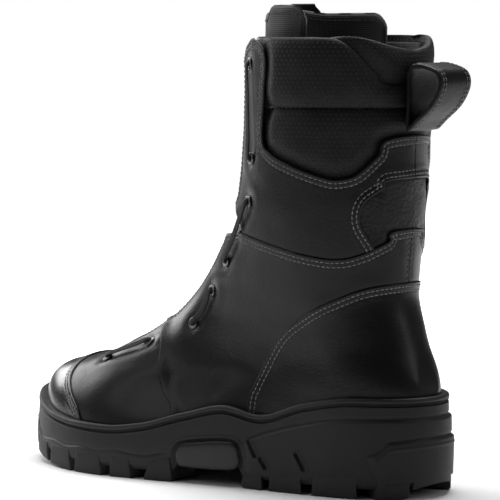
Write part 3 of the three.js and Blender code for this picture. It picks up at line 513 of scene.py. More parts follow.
class Panel:
    """A piece of leather or cloth on a chart, bounded by edges: (kind, chart line), joined head to tail."""

    def __init__(self, chart, edges, base=0.0, holes=(), dents=None, spacing=2.2):
        self.chart, self.base, self.dents, self.spacing = chart, base, dents, spacing
        self.edges = [(kind, resample(line, EDGE_PITCH)) for kind, line in edges]
        self.holes = [chart_circle(chart, centre, EYELET_HOLE) for centre in holes]
        self.loop = np.vstack([line[:-1] for _, line in self.edges])
        self.groove_lines, self.grooves = [], []
        self.traces = [(kind, chart.at(resample(line, TRACE_PITCH))) for kind, line in self.edges
                       if kind != "none"]
        self.hole_traces = [chart.at(h) for h in self.holes]

    def offset(self, q, p=None):
        """How far the outer face stands out from the chart's surface at chart points q."""
        p = self.chart.at(q) if p is None else p
        total = np.full(len(q), float(self.base))
        for kind, trace in self.traces:
            d = nearest(p, trace)
            total += EDGE_KINDS[kind](d)
        for trace in self.hole_traces:
            away = np.linalg.norm(p - trace.mean(0), axis=1)
            total -= DIMPLE * np.exp(-((away / DIMPLE_REACH) ** 2))
        for trace in self.grooves:
            total -= GROOVE * np.exp(-((nearest(p, trace) / GROOVE_REACH) ** 2))
        if self.dents is not None:
            total += self.dents(p)
        return total

    def place(self, q, lift=0.0):
        return self.chart.at(q) + self.chart.normal(q) * (self.offset(q) + lift)[:, None]

    def samples(self):
        """The loop, the holes and the rings of points beside them, then the points of the field."""
        chart, loop = self.chart, self.loop
        points = [loop, *self.holes]
        boundary = chart.at(np.vstack([resample(np.vstack([loop, loop[:1]]), 0.5), *self.holes]))
        for kind, line in self.edges:
            for d in RINGS[kind]:
                ring = resample(self.inwards(line, d), 0.9 + 0.12 * d)
                ring = ring[inside(ring, loop)]
                if len(ring):
                    ring = ring[nearest(chart.at(ring), boundary) > 0.86 * d]
                if len(ring):
                    points.append(ring)
        for h in self.holes:
            for grow in (0.5, 1.1, 2.0, 3.2, 4.6):
                centre = h.mean(0)
                radius = np.linalg.norm(h - centre, axis=1).mean()
                ring = centre + (h - centre) * (1 + grow / radius)
                ring = ring[inside(ring, loop)]
                if len(ring):
                    points.append(ring[nearest(chart.at(ring), boundary) > 0.5 * grow])
        for trace in self.groove_lines:
            for d in (-0.8, 0.0, 0.8):
                ring = resample(chart.shift(trace, d) if d else trace, 1.0)
                points.append(ring[inside(ring, loop)])
        near = np.vstack(points)
        field = self.field()
        field = field[inside(field, loop)]
        for h in self.holes:
            field = field[~inside(field, h)]
        if len(field):
            field = field[nearest(chart.at(field), chart.at(near)) > 0.62 * self.spacing]
        return points, field

    def inwards(self, line, d):
        for sign in (1, -1):
            moved = self.chart.shift(line, sign * d)
            if inside(moved[len(moved) // 2 : len(moved) // 2 + 1], self.loop)[0]:
                return moved
        return self.chart.shift(line, d)

    def field(self):
        low, high = self.loop.min(0), self.loop.max(0)
        rows, v, k = [], low[1], 0
        while v < high[1]:
            s = np.arange(low[0] + (k % 2) * self.spacing / 2, high[0], self.spacing)
            q = np.stack([s, np.full(len(s), v)], 1)
            rows.append(q)
            span = q[inside(q, self.loop)]
            stretch = 1.0
            if len(span):
                up = self.chart.at(span + [0, 0.5]) - self.chart.at(span - [0, 0.5])
                stretch = float(np.clip(np.median(np.linalg.norm(up, axis=1)), 0.6, 3))
            v += self.spacing * 0.87 / stretch
            k += 1
        return np.vstack(rows)

    def solid(self, inner_face=None):
        """The panel as a closed solid, THICK or down to inner_face, and its surface layout."""
        points, field = self.samples()
        loop, holes = points[0], points[1 : 1 + len(self.holes)]
        edges, start = [], 0
        for ring in [loop, *holes]:
            n = len(ring)
            edges += [(start + i, start + (i + 1) % n) for i in range(n)]
            start += n
        extra = thinned(np.vstack([*points[1 + len(self.holes) :], field]), np.vstack([loop, *holes]))
        flat = np.vstack([loop, *holes, extra])
        verts, _, faces, *_ = geometry.delaunay_2d_cdt([Vector(q) for q in flat], edges, [], 0, 1e-5)
        q = np.array([tuple(v) for v in verts])
        faces = np.array([f for f in faces if len(f) == 3])
        middle = q[faces].mean(1)
        keep = inside(middle, loop)
        for h in holes:
            keep &= ~inside(middle, h)
        faces = faces[keep]
        used = np.unique(faces)
        renumber = np.full(len(q), -1)
        renumber[used] = np.arange(len(used))
        q, faces = q[used], renumber[faces]
        p, n = self.chart.at(q), self.chart.normal(q)
        offset = self.offset(q, p)
        outer = p + n * offset[:, None]
        inner_offset = offset - THICK if inner_face is None else np.minimum(offset - 0.8, inner_face)
        inner = p + n * inner_offset[:, None]
        a, b, c = outer[faces[:, 0]], outer[faces[:, 1]], outer[faces[:, 2]]
        if (np.cross(b - a, c - a) * n[faces[:, 0]]).sum() < 0:
            faces = faces[:, ::-1]
        count = len(q)
        directed = dict.fromkeys((f[i], f[(i + 1) % 3]) for f in faces for i in range(3))
        rim = [(i, j) for i, j in directed if (j, i) not in directed]
        walls = [(j, i, i + count, j + count) for i, j in rim]
        all_faces = [tuple(f) for f in faces] + [tuple(f[::-1] + count) for f in faces] + walls
        return np.vstack([outer, inner]), all_faces, np.vstack([q, q])


def thinned(points, fixed, least=0.28):
    """The points without those closer than least to a fixed one or to one kept before."""
    cells = {}

    def key(p):
        return int(math.floor(p[0] / least)), int(math.floor(p[1] / least))

    def crowded(p, k):
        for i in (-1, 0, 1):
            for j in (-1, 0, 1):
                for other in cells.get((k[0] + i, k[1] + j), ()):
                    if (other[0] - p[0]) ** 2 + (other[1] - p[1]) ** 2 < least * least:
                        return True
        return False

    for p in fixed:
        cells.setdefault(key(p), []).append(p)
    kept = []
    for p in points:
        k = key(p)
        if not crowded(p, k):
            cells.setdefault(k, []).append(p)
            kept.append(p)
    return np.array(kept).reshape(-1, 2)


def chart_circle(chart, centre, radius, count=22):
    q = np.repeat(np.array([centre], float), count, axis=0)
    n = chart.normal(q)
    side = unit(np.cross(n, [0, 0, 1]))
    up = np.cross(side, n)
    angle = np.linspace(0, 2 * np.pi, count, endpoint=False)[:, None]
    return q + chart.step(q, radius * (np.cos(angle) * side + np.sin(angle) * up))


# ---------------------------------------------------------------- stitches
STITCH_PITCH = 3.1
STITCH_LENGTH = 2.35
# Height of a stitch above the leather and radius of its thread, from one end to the other.
STITCH_RISE = np.array([-0.42, 0.0, 0.16, 0.2, 0.16, 0.0, -0.42])
STITCH_RADIUS = np.array([0.7, 0.95, 1, 1.02, 1, 0.95, 0.7]) * 0.36
STITCH_TURN = np.linspace(0, 2 * np.pi, 6, endpoint=False)[:, None]
ROW_PITCH = 0.8


def stitch_points(p, n):
    """Little arched threads along the line p with normals n."""
    lengths = lengths_along(p)
    count = int(lengths[-1] / STITCH_PITCH)
    solids = []
    for k in range(count):
        at = (k + 0.5) * lengths[-1] / count + np.linspace(-0.5, 0.5, len(STITCH_RISE)) * STITCH_LENGTH
        normal = unit(at_lengths(at, lengths, n))
        line = at_lengths(at, lengths, p) + normal * STITCH_RISE[:, None]
        t = unit(np.gradient(line, axis=0))
        across = unit(np.cross(t, normal))
        up = np.cross(across, t)
        solids.append(tube_around([
            place + radius * (np.cos(STITCH_TURN) * a + 0.8 * np.sin(STITCH_TURN) * b)
            for place, radius, a, b in zip(line, STITCH_RADIUS, across, up)]))
    return solids


def stitch_rows(panel, line, distances):
    """Rows of stitches beside a chart line, at distances to its left, with a groove under each."""
    rows = [resample(panel.chart.shift(line, d), ROW_PITCH) for d in distances]
    panel.groove_lines += rows
    panel.grooves += [panel.chart.at(resample(row, GROOVE_PITCH)) for row in rows]
    return rows


def sew(name, panel, rows):
    solids = []
    for row in rows:
        solids += stitch_points(panel.place(row, 0.12), panel.chart.normal(row))
    add_piece(name, joined(solids), THREAD_CLOTH, "webbing")


# ---------------------------------------------------------------- materials
class Shader:
    """A node material built up in code, over a Principled BSDF."""

    def __init__(self, name, **sockets):
        self.material = bpy.data.materials.new(name)
        self.material.use_nodes = True
        self.tree = self.material.node_tree
        self.bsdf = self.tree.nodes["Principled BSDF"]
        for key, value in sockets.items():
            self.bsdf.inputs[key.replace("_", " ")].default_value = value

    def node(self, kind, **settings):
        made = self.tree.nodes.new(kind)
        for key, value in settings.items():
            if key.startswith("in_"):
                made.inputs[key[3:].replace("_", " ")].default_value = value
            else:
                setattr(made, key, value)
        return made

    def link(self, a, b):
        self.tree.links.new(a, b)

    def place(self, scale, source="Object"):
        coordinates = self.node("ShaderNodeTexCoord")
        mapping = self.node("ShaderNodeMapping")
        mapping.inputs["Scale"].default_value = scale if isinstance(scale, tuple) else (scale,) * 3
        self.link(coordinates.outputs[source], mapping.inputs["Vector"])
        return mapping.outputs["Vector"]

    def noise(self, scale, detail=3.0, roughness=0.55, source="Object", distortion=0.0):
        made = self.node("ShaderNodeTexNoise", in_Detail=detail, in_Roughness=roughness, in_Scale=1.0,
                         in_Distortion=distortion)
        self.link(self.place(scale, source), made.inputs["Vector"])
        return made.outputs["Fac"]

    def cells(self, scale, feature="F1", smooth=None, source="Object"):
        made = self.node("ShaderNodeTexVoronoi", feature=feature, in_Scale=1.0)
        if smooth is not None:
            made.inputs["Smoothness"].default_value = smooth
        self.link(self.place(scale, source), made.inputs["Vector"])
        return made.outputs["Distance"]

    def wave(self, scale, direction, source="UV", distortion=0.0):
        made = self.node("ShaderNodeTexWave", bands_direction=direction, in_Scale=1.0,
                         in_Distortion=distortion)
        self.link(self.place(scale, source), made.inputs["Vector"])
        return made.outputs["Fac"]

    def ramp(self, value, *stops):
        made = self.node("ShaderNodeValToRGB")
        elements = made.color_ramp.elements
        while len(elements) < len(stops):
            elements.new(0.5)
        for element, (at, colour) in zip(elements, stops):
            element.position = at
            element.color = (*colour, 1) if isinstance(colour, tuple) else (colour, colour, colour, 1)
        self.link(value, made.inputs["Fac"])
        return made.outputs["Color"]

    def maths(self, operation, a, b=None, clamp=False):
        made = self.node("ShaderNodeMath", operation=operation, use_clamp=clamp)
        for socket, value in zip(made.inputs, (a, b)):
            if value is None:
                continue
            if isinstance(value, (int, float)):
                socket.default_value = value
            else:
                self.link(value, socket)
        return made.outputs["Value"]

    def blend(self, factor, a, b):
        made = self.node("ShaderNodeMix", data_type="RGBA")
        if isinstance(factor, (int, float)):
            made.inputs["Factor"].default_value = factor
        else:
            self.link(factor, made.inputs["Factor"])
        for socket, value in ((made.inputs[6], a), (made.inputs[7], b)):
            if isinstance(value, tuple):
                socket.default_value = (*value, 1)
            else:
                self.link(value, socket)
        return made.outputs[2]

    def colour(self, value):
        self.link(value, self.bsdf.inputs["Base Color"])

    def roughness(self, value, low, high):
        made = self.node("ShaderNodeMapRange")
        made.inputs["To Min"].default_value = low
        made.inputs["To Max"].default_value = high
        self.link(value, made.inputs["Value"])
        self.link(made.outputs["Result"], self.bsdf.inputs["Roughness"])

    def bumps(self, *layers):
        """Stacked bumps: (height, strength, distance in metres)."""
        below = None
        for height, strength, distance in layers:
            bump = self.node("ShaderNodeBump", in_Strength=strength, in_Distance=distance)
            self.link(height, bump.inputs["Height"])
            if below is not None:
                self.link(below, bump.inputs["Normal"])
            below = bump.outputs["Normal"]
        self.link(below, self.bsdf.inputs["Normal"])
        return self

    def worn_edges(self, base, worn, low=0.53, high=0.62):
        """base colour with a lighter tone on convex edges."""
        geometry_node = self.node("ShaderNodeNewGeometry")
        edge = self.ramp(geometry_node.outputs["Pointiness"], (low, 0.0), (high, 1.0))
        patchy = self.maths("MULTIPLY", edge, self.noise(260, 4))
        return self.blend(patchy, base, worn)


def shade(factor, tone):
    return tuple(factor * c for c in tone)


def leather_material(name, tone, roughness, coat=0.0, grain=1.0, bumpy=1.0):
    m = Shader(name, Coat_Weight=coat, Coat_Roughness=0.22, Specular_IOR_Level=0.22)
    cloud = m.noise(26, 4, 0.6)
    fine = m.noise(900, 3, 0.6)
    base = m.ramp(cloud, (0.3, shade(0.82, tone)), (0.7, shade(1.2, tone)))
    m.colour(m.worn_edges(base, tuple(min(1, 2.6 * c + 0.01) for c in tone)))
    m.roughness(m.maths("ADD", m.maths("MULTIPLY", cloud, 0.6), m.maths("MULTIPLY", fine, 0.4)),
                roughness - 0.08, roughness + 0.1)
    pebble = m.cells((780 * grain,) * 3, "SMOOTH_F1", 0.35)
    pores = m.noise(2300 * grain, 2, 0.5)
    broad = m.noise(60, 3, 0.5)
    return m.bumps((broad, 0.10 * bumpy, 0.004), (pebble, 0.16 * bumpy, 0.0006),
                   (pores, 0.10 * bumpy, 0.0003)).material


def perforated_material():
    """Padded collar leather with rows of punched holes, painted near black inside as shade, each with a
    painted highlight round its rim.
    """
    m = Shader("perforated_leather", Specular_IOR_Level=0.22)
    uv = m.place(1.0, "UV")
    parts = m.node("ShaderNodeSeparateXYZ")
    m.link(uv, parts.inputs[0])
    pitch = 0.0031
    u = m.maths("DIVIDE", parts.outputs[0], pitch)
    v = m.maths("DIVIDE", parts.outputs[1], pitch * 0.87)
    row = m.maths("FLOOR", v)
    odd = m.maths("MULTIPLY", m.maths("MODULO", m.maths("ABSOLUTE", row), 2.0), 0.5)
    du = m.maths("SUBTRACT", m.maths("FRACT", m.maths("ADD", u, odd)), 0.5)
    dv = m.maths("SUBTRACT", m.maths("FRACT", v), 0.5)
    away = m.maths("SQRT", m.maths("ADD", m.maths("MULTIPLY", du, du), m.maths("MULTIPLY", dv, dv)))
    # Painted shade: the holes get a near-black colour for their shaded insides.
    hole = m.ramp(away, (0.13, 1.0), (0.2, 0.0))
    # Painted highlight: a lighter ring round each hole, for the light caught on its rim.
    rim_highlight = m.ramp(away, (0.14, 0.0), (0.2, 1.0), (0.3, 0.0))
    cloud = m.noise(40, 4)
    tone = m.ramp(cloud, (0.3, (0.006, 0.006, 0.0064)), (0.7, (0.0095, 0.0095, 0.01)))
    # The holes are painted near black as shade, then the ring round each is painted lighter as a highlight.
    punched = m.blend(hole, tone, (0.002, 0.002, 0.002))
    m.colour(m.blend(m.maths("MULTIPLY", rim_highlight, 0.8), punched, (0.05, 0.05, 0.052)))
    m.roughness(m.noise(600, 3), 0.5, 0.68)
    dip = m.ramp(away, (0.1, 0.0), (0.22, 1.0))
    m.bumps((dip, 0.9, 0.0007), (m.cells((900,) * 3, "SMOOTH_F1", 0.3), 0.2, 0.0005))
    return m.material


def woven_material(name, tone, pitch, light=1.8, rough=(0.82, 0.95), sheen=0.25, depth=0.0005, source="UV"):
    """Plain weave or spacer mesh: crossing bands in true-length coordinates."""
    m = Shader(name, Sheen_Weight=sheen, Sheen_Roughness=0.5, Specular_IOR_Level=0.3)
    frequency = 1 / pitch / 20 * 3.1416 * 2
    warp = m.wave((frequency, frequency, frequency), "X", source, 0.3)
    weft = m.wave((frequency, frequency, frequency), "Y", source, 0.3)
    weave = m.maths("MULTIPLY", warp, weft)
    fuzz = m.noise(1500, 4, 0.7)
    cloud = m.noise(45, 3)
    dark = shade(0.45, tone)
    mixed = m.maths("ADD", m.maths("MULTIPLY", weave, 0.7), m.maths("MULTIPLY", fuzz, 0.3))
    threads = m.ramp(mixed, (0.15, dark), (0.5, tone), (0.85, shade(light, tone)))
    m.colour(m.blend(m.maths("MULTIPLY", cloud, 0.35), threads, dark))
    m.roughness(fuzz, *rough)
    return m.bumps((weave, 0.7, depth), (fuzz, 0.35, 0.0003)).material


def rubber_material(name, tone, low, high, edge=2.6):
    m = Shader(name, Specular_IOR_Level=0.3)
    cloud = m.noise(18, 5, 0.6)
    base = m.ramp(cloud, (0.3, shade(0.85, tone)), (0.72, shade(1.15, tone)))
    m.colour(m.worn_edges(base, shade(edge, tone), 0.52, 0.6))
    m.roughness(m.noise(420, 4, 0.7), low, high)
    return m.bumps((m.noise(150, 3), 0.08, 0.001), (m.noise(1700, 4, 0.7), 0.22, 0.0003)).material


def metal_material(name, tone, worn, roughness):
    m = Shader(name, Metallic=0.9)
    base = m.ramp(m.noise(240, 4), (0.35, shade(0.7, tone)), (0.7, tone))
    m.colour(m.worn_edges(base, worn, 0.51, 0.56))
    m.roughness(m.noise(900, 4, 0.7), roughness - 0.08, roughness + 0.12)
    return m.bumps((m.noise(1200, 3), 0.12, 0.0002)).material


def board_material(name, tone):
    m = Shader(name)
    fibre = m.noise((90, 700, 700), 5, 0.7)
    m.colour(m.ramp(fibre, (0.3, shade(0.6, tone)), (0.7, tone)))
    m.roughness(m.noise(500, 3), 0.8, 0.95)
    return m.bumps((fibre, 0.3, 0.0004)).material


LEATHER = leather_material("upper_leather", (0.0042, 0.0042, 0.0046), 0.37, coat=0.07)
GLOSSY = leather_material("toe_leather", (0.006, 0.006, 0.0065), 0.27, coat=0.35, grain=0.9, bumpy=0.6)
TUMBLED = leather_material("achilles_leather", (0.009, 0.009, 0.0095), 0.46, grain=0.6, bumpy=3.0)
STRAP_LEATHER = leather_material("strap_leather", (0.0035, 0.0035, 0.0038), 0.42, grain=0.9, bumpy=1.3)
PERFORATED = perforated_material()
TEXTILE = woven_material("tongue_textile", (0.055, 0.056, 0.058), 0.0011)
LINING_CLOTH = woven_material("lining_cloth", (0.026, 0.0265, 0.028), 0.0016, depth=0.0007)
TAPE = woven_material("zip_tape", (0.012, 0.012, 0.0125), 0.0009)
LACE_CLOTH = woven_material("lace_cloth", (0.006, 0.006, 0.0065), 0.0010, light=2.0, sheen=0.05)
THREAD_CLOTH = woven_material("sewing_thread", (0.3, 0.3, 0.305), 0.0006, light=1.5, source="Object")
DARK_THREAD = woven_material("dark_thread", (0.06, 0.06, 0.062), 0.0006, light=1.5, source="Object")
RUBBER = rubber_material("outsole_rubber", (0.016, 0.0163, 0.017), 0.5, 0.66)
SOLE_FOAM = rubber_material("midsole_foam", (0.010, 0.0103, 0.011), 0.46, 0.62)
SHINY_PLASTIC = rubber_material("arch_plastic", (0.012, 0.012, 0.013), 0.2, 0.3, edge=1.0)
BLACK_METAL = metal_material("black_metal", (0.028, 0.028, 0.03), (0.3, 0.3, 0.31), 0.3)
STEEL = metal_material("steel", (0.45, 0.46, 0.47), (0.8, 0.8, 0.8), 0.3)
BOARD = board_material("board", (0.3, 0.25, 0.19))
FELT = woven_material("footbed_cloth", (0.05, 0.05, 0.052), 0.0018)


# ---------------------------------------------------------------- the upper
def straight(a, b, pitch=EDGE_PITCH):
    return resample(np.array([a, b], float), pitch)


def front_angle(side, x, z):
    """Angle on the front of the upper at which its half width is x."""
    x, z = paired(x, z)
    wide, narrow = np.full(x.shape, np.pi / 2), np.full(x.shape, np.pi)
    for _ in range(40):
        mid = (wide + narrow) / 2
        wider = upper_half(side, leg_y(mid, z), z) > x
        wide, narrow = np.where(wider, mid, wide), np.where(wider, narrow, mid)
    return side * (wide + narrow) / 2


def leg_point(side, x, z):
    """Chart point on the front of the leg chart, x from the middle line."""
    angle = front_angle(side, x, z)
    z = np.broadcast_to(np.asarray(z, float), angle.shape)
    lengths = leg.row(np.atleast_1d(z))
    s = np.array([np.interp(a, leg.turns, row) for a, row in zip(np.atleast_1d(angle), lengths)])
    return np.stack([s, np.atleast_1d(z)], 1)


def side_run(chart, side, line, start=None):
    """Chart points of the part of a side-view line on the boot, up to the centre back if it gets there."""
    p = smooth_line(line)
    if start is not None:
        p = p[start(p[:, 0], p[:, 1])]
    behind = p[:, 0] >= back_y(p[:, 1]) - 0.35
    if not behind.any():
        return chart.from_side(side, p)
    q = chart.from_side(side, p[: int(np.argmax(behind))])
    near = q[np.abs(q[:, 0] - q[-1, 0]) < 5][0]
    slope = (q[-1, 1] - near[1]) / (q[-1, 0] - near[0])
    return np.vstack([q, [[0.0, q[-1, 1] - slope * q[-1, 0]]]])


# How far the upper goes down behind the rim of the sole, and the highest point of the vamp's seam.
HIDDEN, VAMP_TOP = 3.0, 97


def rim_run(chart, side, y0, y1):
    """The hidden lower edge of the upper, from y0 to y1, behind the rim of the sole."""
    y = np.linspace(y0, y1, max(2, int(abs(y1 - y0) / 0.8)))
    z = rim_z(y) - HIDDEN
    keep = (y < back_y(z)) & (ridge_z(y) > z + 0.02)
    return chart.from_side(side, np.stack([y[keep], z[keep]], 1))


def reverse(line):
    return line[::-1].copy()


def crossing(a, b):
    """Indices (i, j) of the nearest points of two lines."""
    d = np.linalg.norm(a[:, None] - b[None], axis=2)
    return np.unravel_index(np.argmin(d), d.shape)


NOTCH_APEX, NOTCH_TOP, NOTCH_LOW = (34, 158), (14, 187), (-8, 150)


def front_edge(side, z0, z1):
    """Chart points of the throat's edge between two heights."""
    z = np.arange(z0, z1, 0.8)
    return leg_point(side, throat(z), z)


def undulation(p):
    """Soft unevenness of worked leather, in mm."""
    x, y, z = p.T
    broad = np.sin(0.071 * x + 0.043 * z + 1.3) * np.sin(0.062 * y - 0.05 * z + 0.4)
    small = np.sin(0.19 * y + 0.11 * z + 0.7 * np.sin(0.07 * x)) * np.sin(0.15 * z - 0.09 * y + 2.1)
    return 0.28 * broad + 0.09 * small


def lace_pull(p):
    """The leather draws in a little between the eyelets of each pair."""
    total = undulation(p)
    for side in (1, -1):
        for a, b in ((0, 1), (2, 3), (4, 5), (6, 7)):
            pa, pb = eyelet_centre(side, a), eyelet_centre(side, b)
            t = clamp01(((p - pa) @ (pb - pa)) / ((pb - pa) @ (pb - pa)))
            away = np.linalg.norm(p - pa - t[:, None] * (pb - pa), axis=1)
            total -= 0.75 * np.exp(-((away / 5.0) ** 2)) - 0.5 * np.exp(-(((away - 10) / 4.5) ** 2))
    return total


def skin(angle, z):
    """Points and outward normals of the upper at chart angles and heights."""
    angle, z = paired(np.atleast_1d(angle), z)
    return on_upper(angle, z), surface_normal(on_upper, angle, z)


def on_skin(side, x, z, offset):
    """Points x from the middle line on the front of the upper, standing out by offset."""
    x, z, offset = paired(np.atleast_1d(x), z, offset)
    p, n = skin(front_angle(side, x, z), z)
    return p + n * offset[:, None]


def eyelet_xz(index):
    z, beside = EYELETS[index]
    return (float(throat(z)) + beside if beside else LAST_EYELET_X), z


EYELET_PLACES = {}


def eyelet_centre(side, index):
    if (side, index) not in EYELET_PLACES:
        x, z = eyelet_xz(index)
        EYELET_PLACES[side, index] = on_skin(side, x, z, 0.0)[0]
    return EYELET_PLACES[side, index]


def eyelet_chart(chart, side, index):
    p = eyelet_centre(side, index)
    return chart.from_side(side, [(p[1], p[2])])[0]


def seams_of(side):
    """The chart lines that several panels share, on one side."""
    return {
        "quarter": side_run(leg, side, QUARTER_SEAM, start=lambda y, z: y > 34),
        "achilles": side_run(leg, side, ACHILLES_SEAM),
        "collar": side_run(leg, side, COLLAR_SEAM),
        "counter": side_run(leg, side, COUNTER_SEAM, start=above_rim),
        "vamp": side_run(leg, side, VAMP_SEAM, start=vamp_part),
    }


def above_rim(y, z):
    """Whether a side-view point is on the upper, down to its hidden lower edge."""
    return z > rim_z(y) - HIDDEN


def vamp_part(y, z):
    return above_rim(y, z) & (z < VAMP_TOP)


def cut_at(line, other, keep_first):
    """The line up to, or from, the place where it comes nearest to another line."""
    i, _ = crossing(line, other)
    return line[: i + 1] if keep_first else line[i:]


def make_shaft(side, lines, name):
    edge = front_edge(side, 165, 262)
    notch = leg.from_side(side, straight(NOTCH_APEX, NOTCH_TOP, SEAM_PITCH))
    i, j = crossing(notch, edge)
    notch, edge = notch[: i + 1], edge[j:]
    top = side_run(leg, side, FACING_TOP, start=lambda y, z: z > 262.5)
    collar = lines["collar"]
    achilles = cut_at(lines["achilles"], lines["quarter"], keep_first=False)
    quarter = cut_at(lines["quarter"], lines["achilles"], keep_first=True)
    low = leg.shift(quarter, -5.5 * side)
    back = straight(collar[-1], achilles[-1])
    edges = [("turned", edge), ("turned", np.vstack([edge[-1:], top])), ("over", collar), ("cut", back),
             ("over", reverse(achilles)), ("none", np.vstack([achilles[:1], low[-1:]])),
             ("under", reverse(low)), ("none", np.vstack([low[:1], notch[:1]])), ("turned", notch)]
    holes = [eyelet_chart(leg, side, k) for k in (0, 1, 2)]
    panel = Panel(leg, edges, holes=holes, dents=lace_pull)
    inner = -side
    rows = stitch_rows(panel, collar, [inner * 2.3, inner * 5.1])
    rows += stitch_rows(panel, achilles, [side * 2.2, side * 4.8])
    rows += stitch_rows(panel, np.vstack([edge, top]), [inner * 2.0, inner * 4.2])
    add_piece(f"shaft_leather_{name}", panel.solid(), LEATHER, "upper_leather", f"shaft_{name}")
    return panel, rows


def make_quarter(side, lines, name):
    vamp = lines["vamp"]
    edge = front_edge(side, 86, 157)
    notch = leg.from_side(side, straight(NOTCH_APEX, NOTCH_LOW, SEAM_PITCH))
    i, j = crossing(notch, edge)
    notch, edge = notch[: i + 1], edge[: j + 1]
    i, j = crossing(vamp, edge)
    vamp, edge = vamp[: i + 1], edge[j:]
    counter = leg.shift(lines["counter"], -5.0 * side)
    counter[-1, 0] = 0.0
    quarter = lines["quarter"]
    back = straight(counter[-1], quarter[-1])
    bottom = rim_run(leg, side, -14, 38)
    edges = [("over", reverse(vamp)), ("none", bottom), ("under", counter), ("cut", back),
             ("over", reverse(quarter)), ("turned", np.vstack([quarter[:1], notch])),
             ("turned", reverse(edge))]
    holes = [eyelet_chart(leg, side, k) for k in (3, 4, 5)]
    panel = Panel(leg, edges, holes=holes, dents=lace_pull)
    rows = stitch_rows(panel, quarter, [-side * 2.3, -side * 5.1])
    rows += stitch_rows(panel, notch, [side * 2.3, side * 4.6])
    rows += stitch_rows(panel, edge, [-side * 2.0, -side * 4.2])
    rows += stitch_rows(panel, straight((2.4 * side, 131.5), (2.4 * side, 156)), [0.01])
    add_piece(f"quarter_leather_{name}", panel.solid(), LEATHER, "upper_leather", f"quarter_{name}")
    return panel, rows


def make_counter(lines):
    right, left = lines[1]["counter"], lines[-1]["counter"]
    arch = np.vstack([right, reverse(left)[1:]])
    bottom = np.vstack([rim_run(leg, -1, 38, 147), [[0.0, 58.0]], reverse(rim_run(leg, 1, 38, 147))])
    panel = Panel(leg, [("over", arch), ("none", bottom)], dents=undulation)
    rows = stitch_rows(panel, arch, [-2.3, -5.1])
    add_piece("heel_counter_leather", panel.solid(), LEATHER, "upper_leather", "heel_counter")
    return panel, rows


def make_achilles(lines):
    parts = {}
    for side in (1, -1):
        achilles = cut_at(lines[side]["achilles"], lines[side]["quarter"], keep_first=False)
        quarter = cut_at(lines[side]["quarter"], lines[side]["achilles"], keep_first=False)
        parts[side] = leg.shift(achilles, side * 4.5), leg.shift(quarter, -5.0 * side)
    over = np.vstack([parts[1][0], reverse(parts[-1][0])])
    under = np.vstack([parts[-1][1], reverse(parts[1][1])])
    panel = Panel(leg, [("under", over), ("none", np.vstack([over[-1:], under[:1]])), ("under", under)],
                  base=-0.5, dents=undulation, spacing=1.8)
    add_piece("achilles_leather", panel.solid(), TUMBLED, "upper_leather", "achilles_panel")


def make_toe_and_vamp(lines):
    seams, rims, vamps, throats = {}, {}, {}, {}
    for side in (1, -1):
        seam = smooth_line(TOE_SEAM)
        seam = seam[above_rim(*seam.T) & (seam[:, 1] < ridge_z(seam[:, 0]) - 0.03)]
        seams[side] = fan.from_side(side, seam)
        rims[side] = rim_run(fan, side, seam[0, 0], -151.4)
        line = smooth_line(VAMP_SEAM)
        line = line[vamp_part(*line.T)]
        z = np.concatenate([[79.0, 79.3, 79.7, 80.0], np.arange(80.6, 99, 0.7)])
        edge = fan.from_side(side, on_upper(front_angle(side, throat(z), z), z)[:, 1:])
        vamp = fan.from_side(side, line)
        i, j = crossing(vamp, edge)
        vamps[side], throats[side] = vamp[: i + 1], edge[: j + 1]
        rims[side, "vamp"] = rim_run(fan, side, line[0, 0], seam[0, 0])
    apex = [[0.0, 0.5 * (seams[1][-1, 1] + seams[-1][-1, 1]) + 0.05]]
    arch = np.vstack([seams[1], apex, reverse(seams[-1])])
    tip = np.vstack([rims[-1], [[0.0, rims[1][-1, 1]]], reverse(rims[1])])
    toe = Panel(fan, [("over", arch), ("none", tip)], dents=undulation, spacing=1.9)
    toe_rows = stitch_rows(toe, resample(arch, 0.8), [2.6, 5.2])
    add_piece("toe_bumper_leather", toe.solid(), GLOSSY, "toe_leather", "toe_bumper")

    backs = {side: fan.shift(vamps[side], -side * 5.5) for side in (1, -1)}
    front = fan.shift(resample(arch, 1.0), 5.5)
    opening = np.vstack([reverse(throats[1]), throats[-1]])
    edges = [("under", backs[1]), ("none", np.vstack([backs[1][-1:], throats[1][-1:]])),
             ("turned", opening),
             ("none", np.vstack([throats[-1][-1:], backs[-1][-1:]])), ("under", reverse(backs[-1])),
             ("none", rims[-1, "vamp"]), ("under", reverse(front)), ("none", reverse(rims[1, "vamp"]))]
    holes = [eyelet_chart(fan, side, k) for side in (1, -1) for k in (6, 7)]
    vamp = Panel(fan, edges, holes=holes, dents=lace_pull, spacing=2.0)
    rows = stitch_rows(vamp, resample(opening, 0.8), [-2.0, -4.2])
    add_piece("vamp_leather", vamp.solid(), LEATHER, "upper_leather", "vamp")
    return (toe, toe_rows), (vamp, rows)


def make_upper():
    lines = {side: seams_of(side) for side in (1, -1)}
    sewn = []
    for name, side in SIDES:
        sewn.append((f"shaft_{name}", make_shaft(side, lines[side], name)))
        sewn.append((f"quarter_{name}", make_quarter(side, lines[side], name)))
    sewn.append(("counter", make_counter(lines)))
    make_achilles(lines)
    toe, vamp = make_toe_and_vamp(lines)
    sewn += [("toe", toe), ("vamp", vamp)]
    for name, (panel, rows) in sewn:
        sew(f"stitching_{name}", panel, rows)
    return lines


# ---------------------------------------------------------------- padded collar
# How deep the inner faces of the padded parts lie, below the outer face of the upper.
PADDED_INNER = -4.7


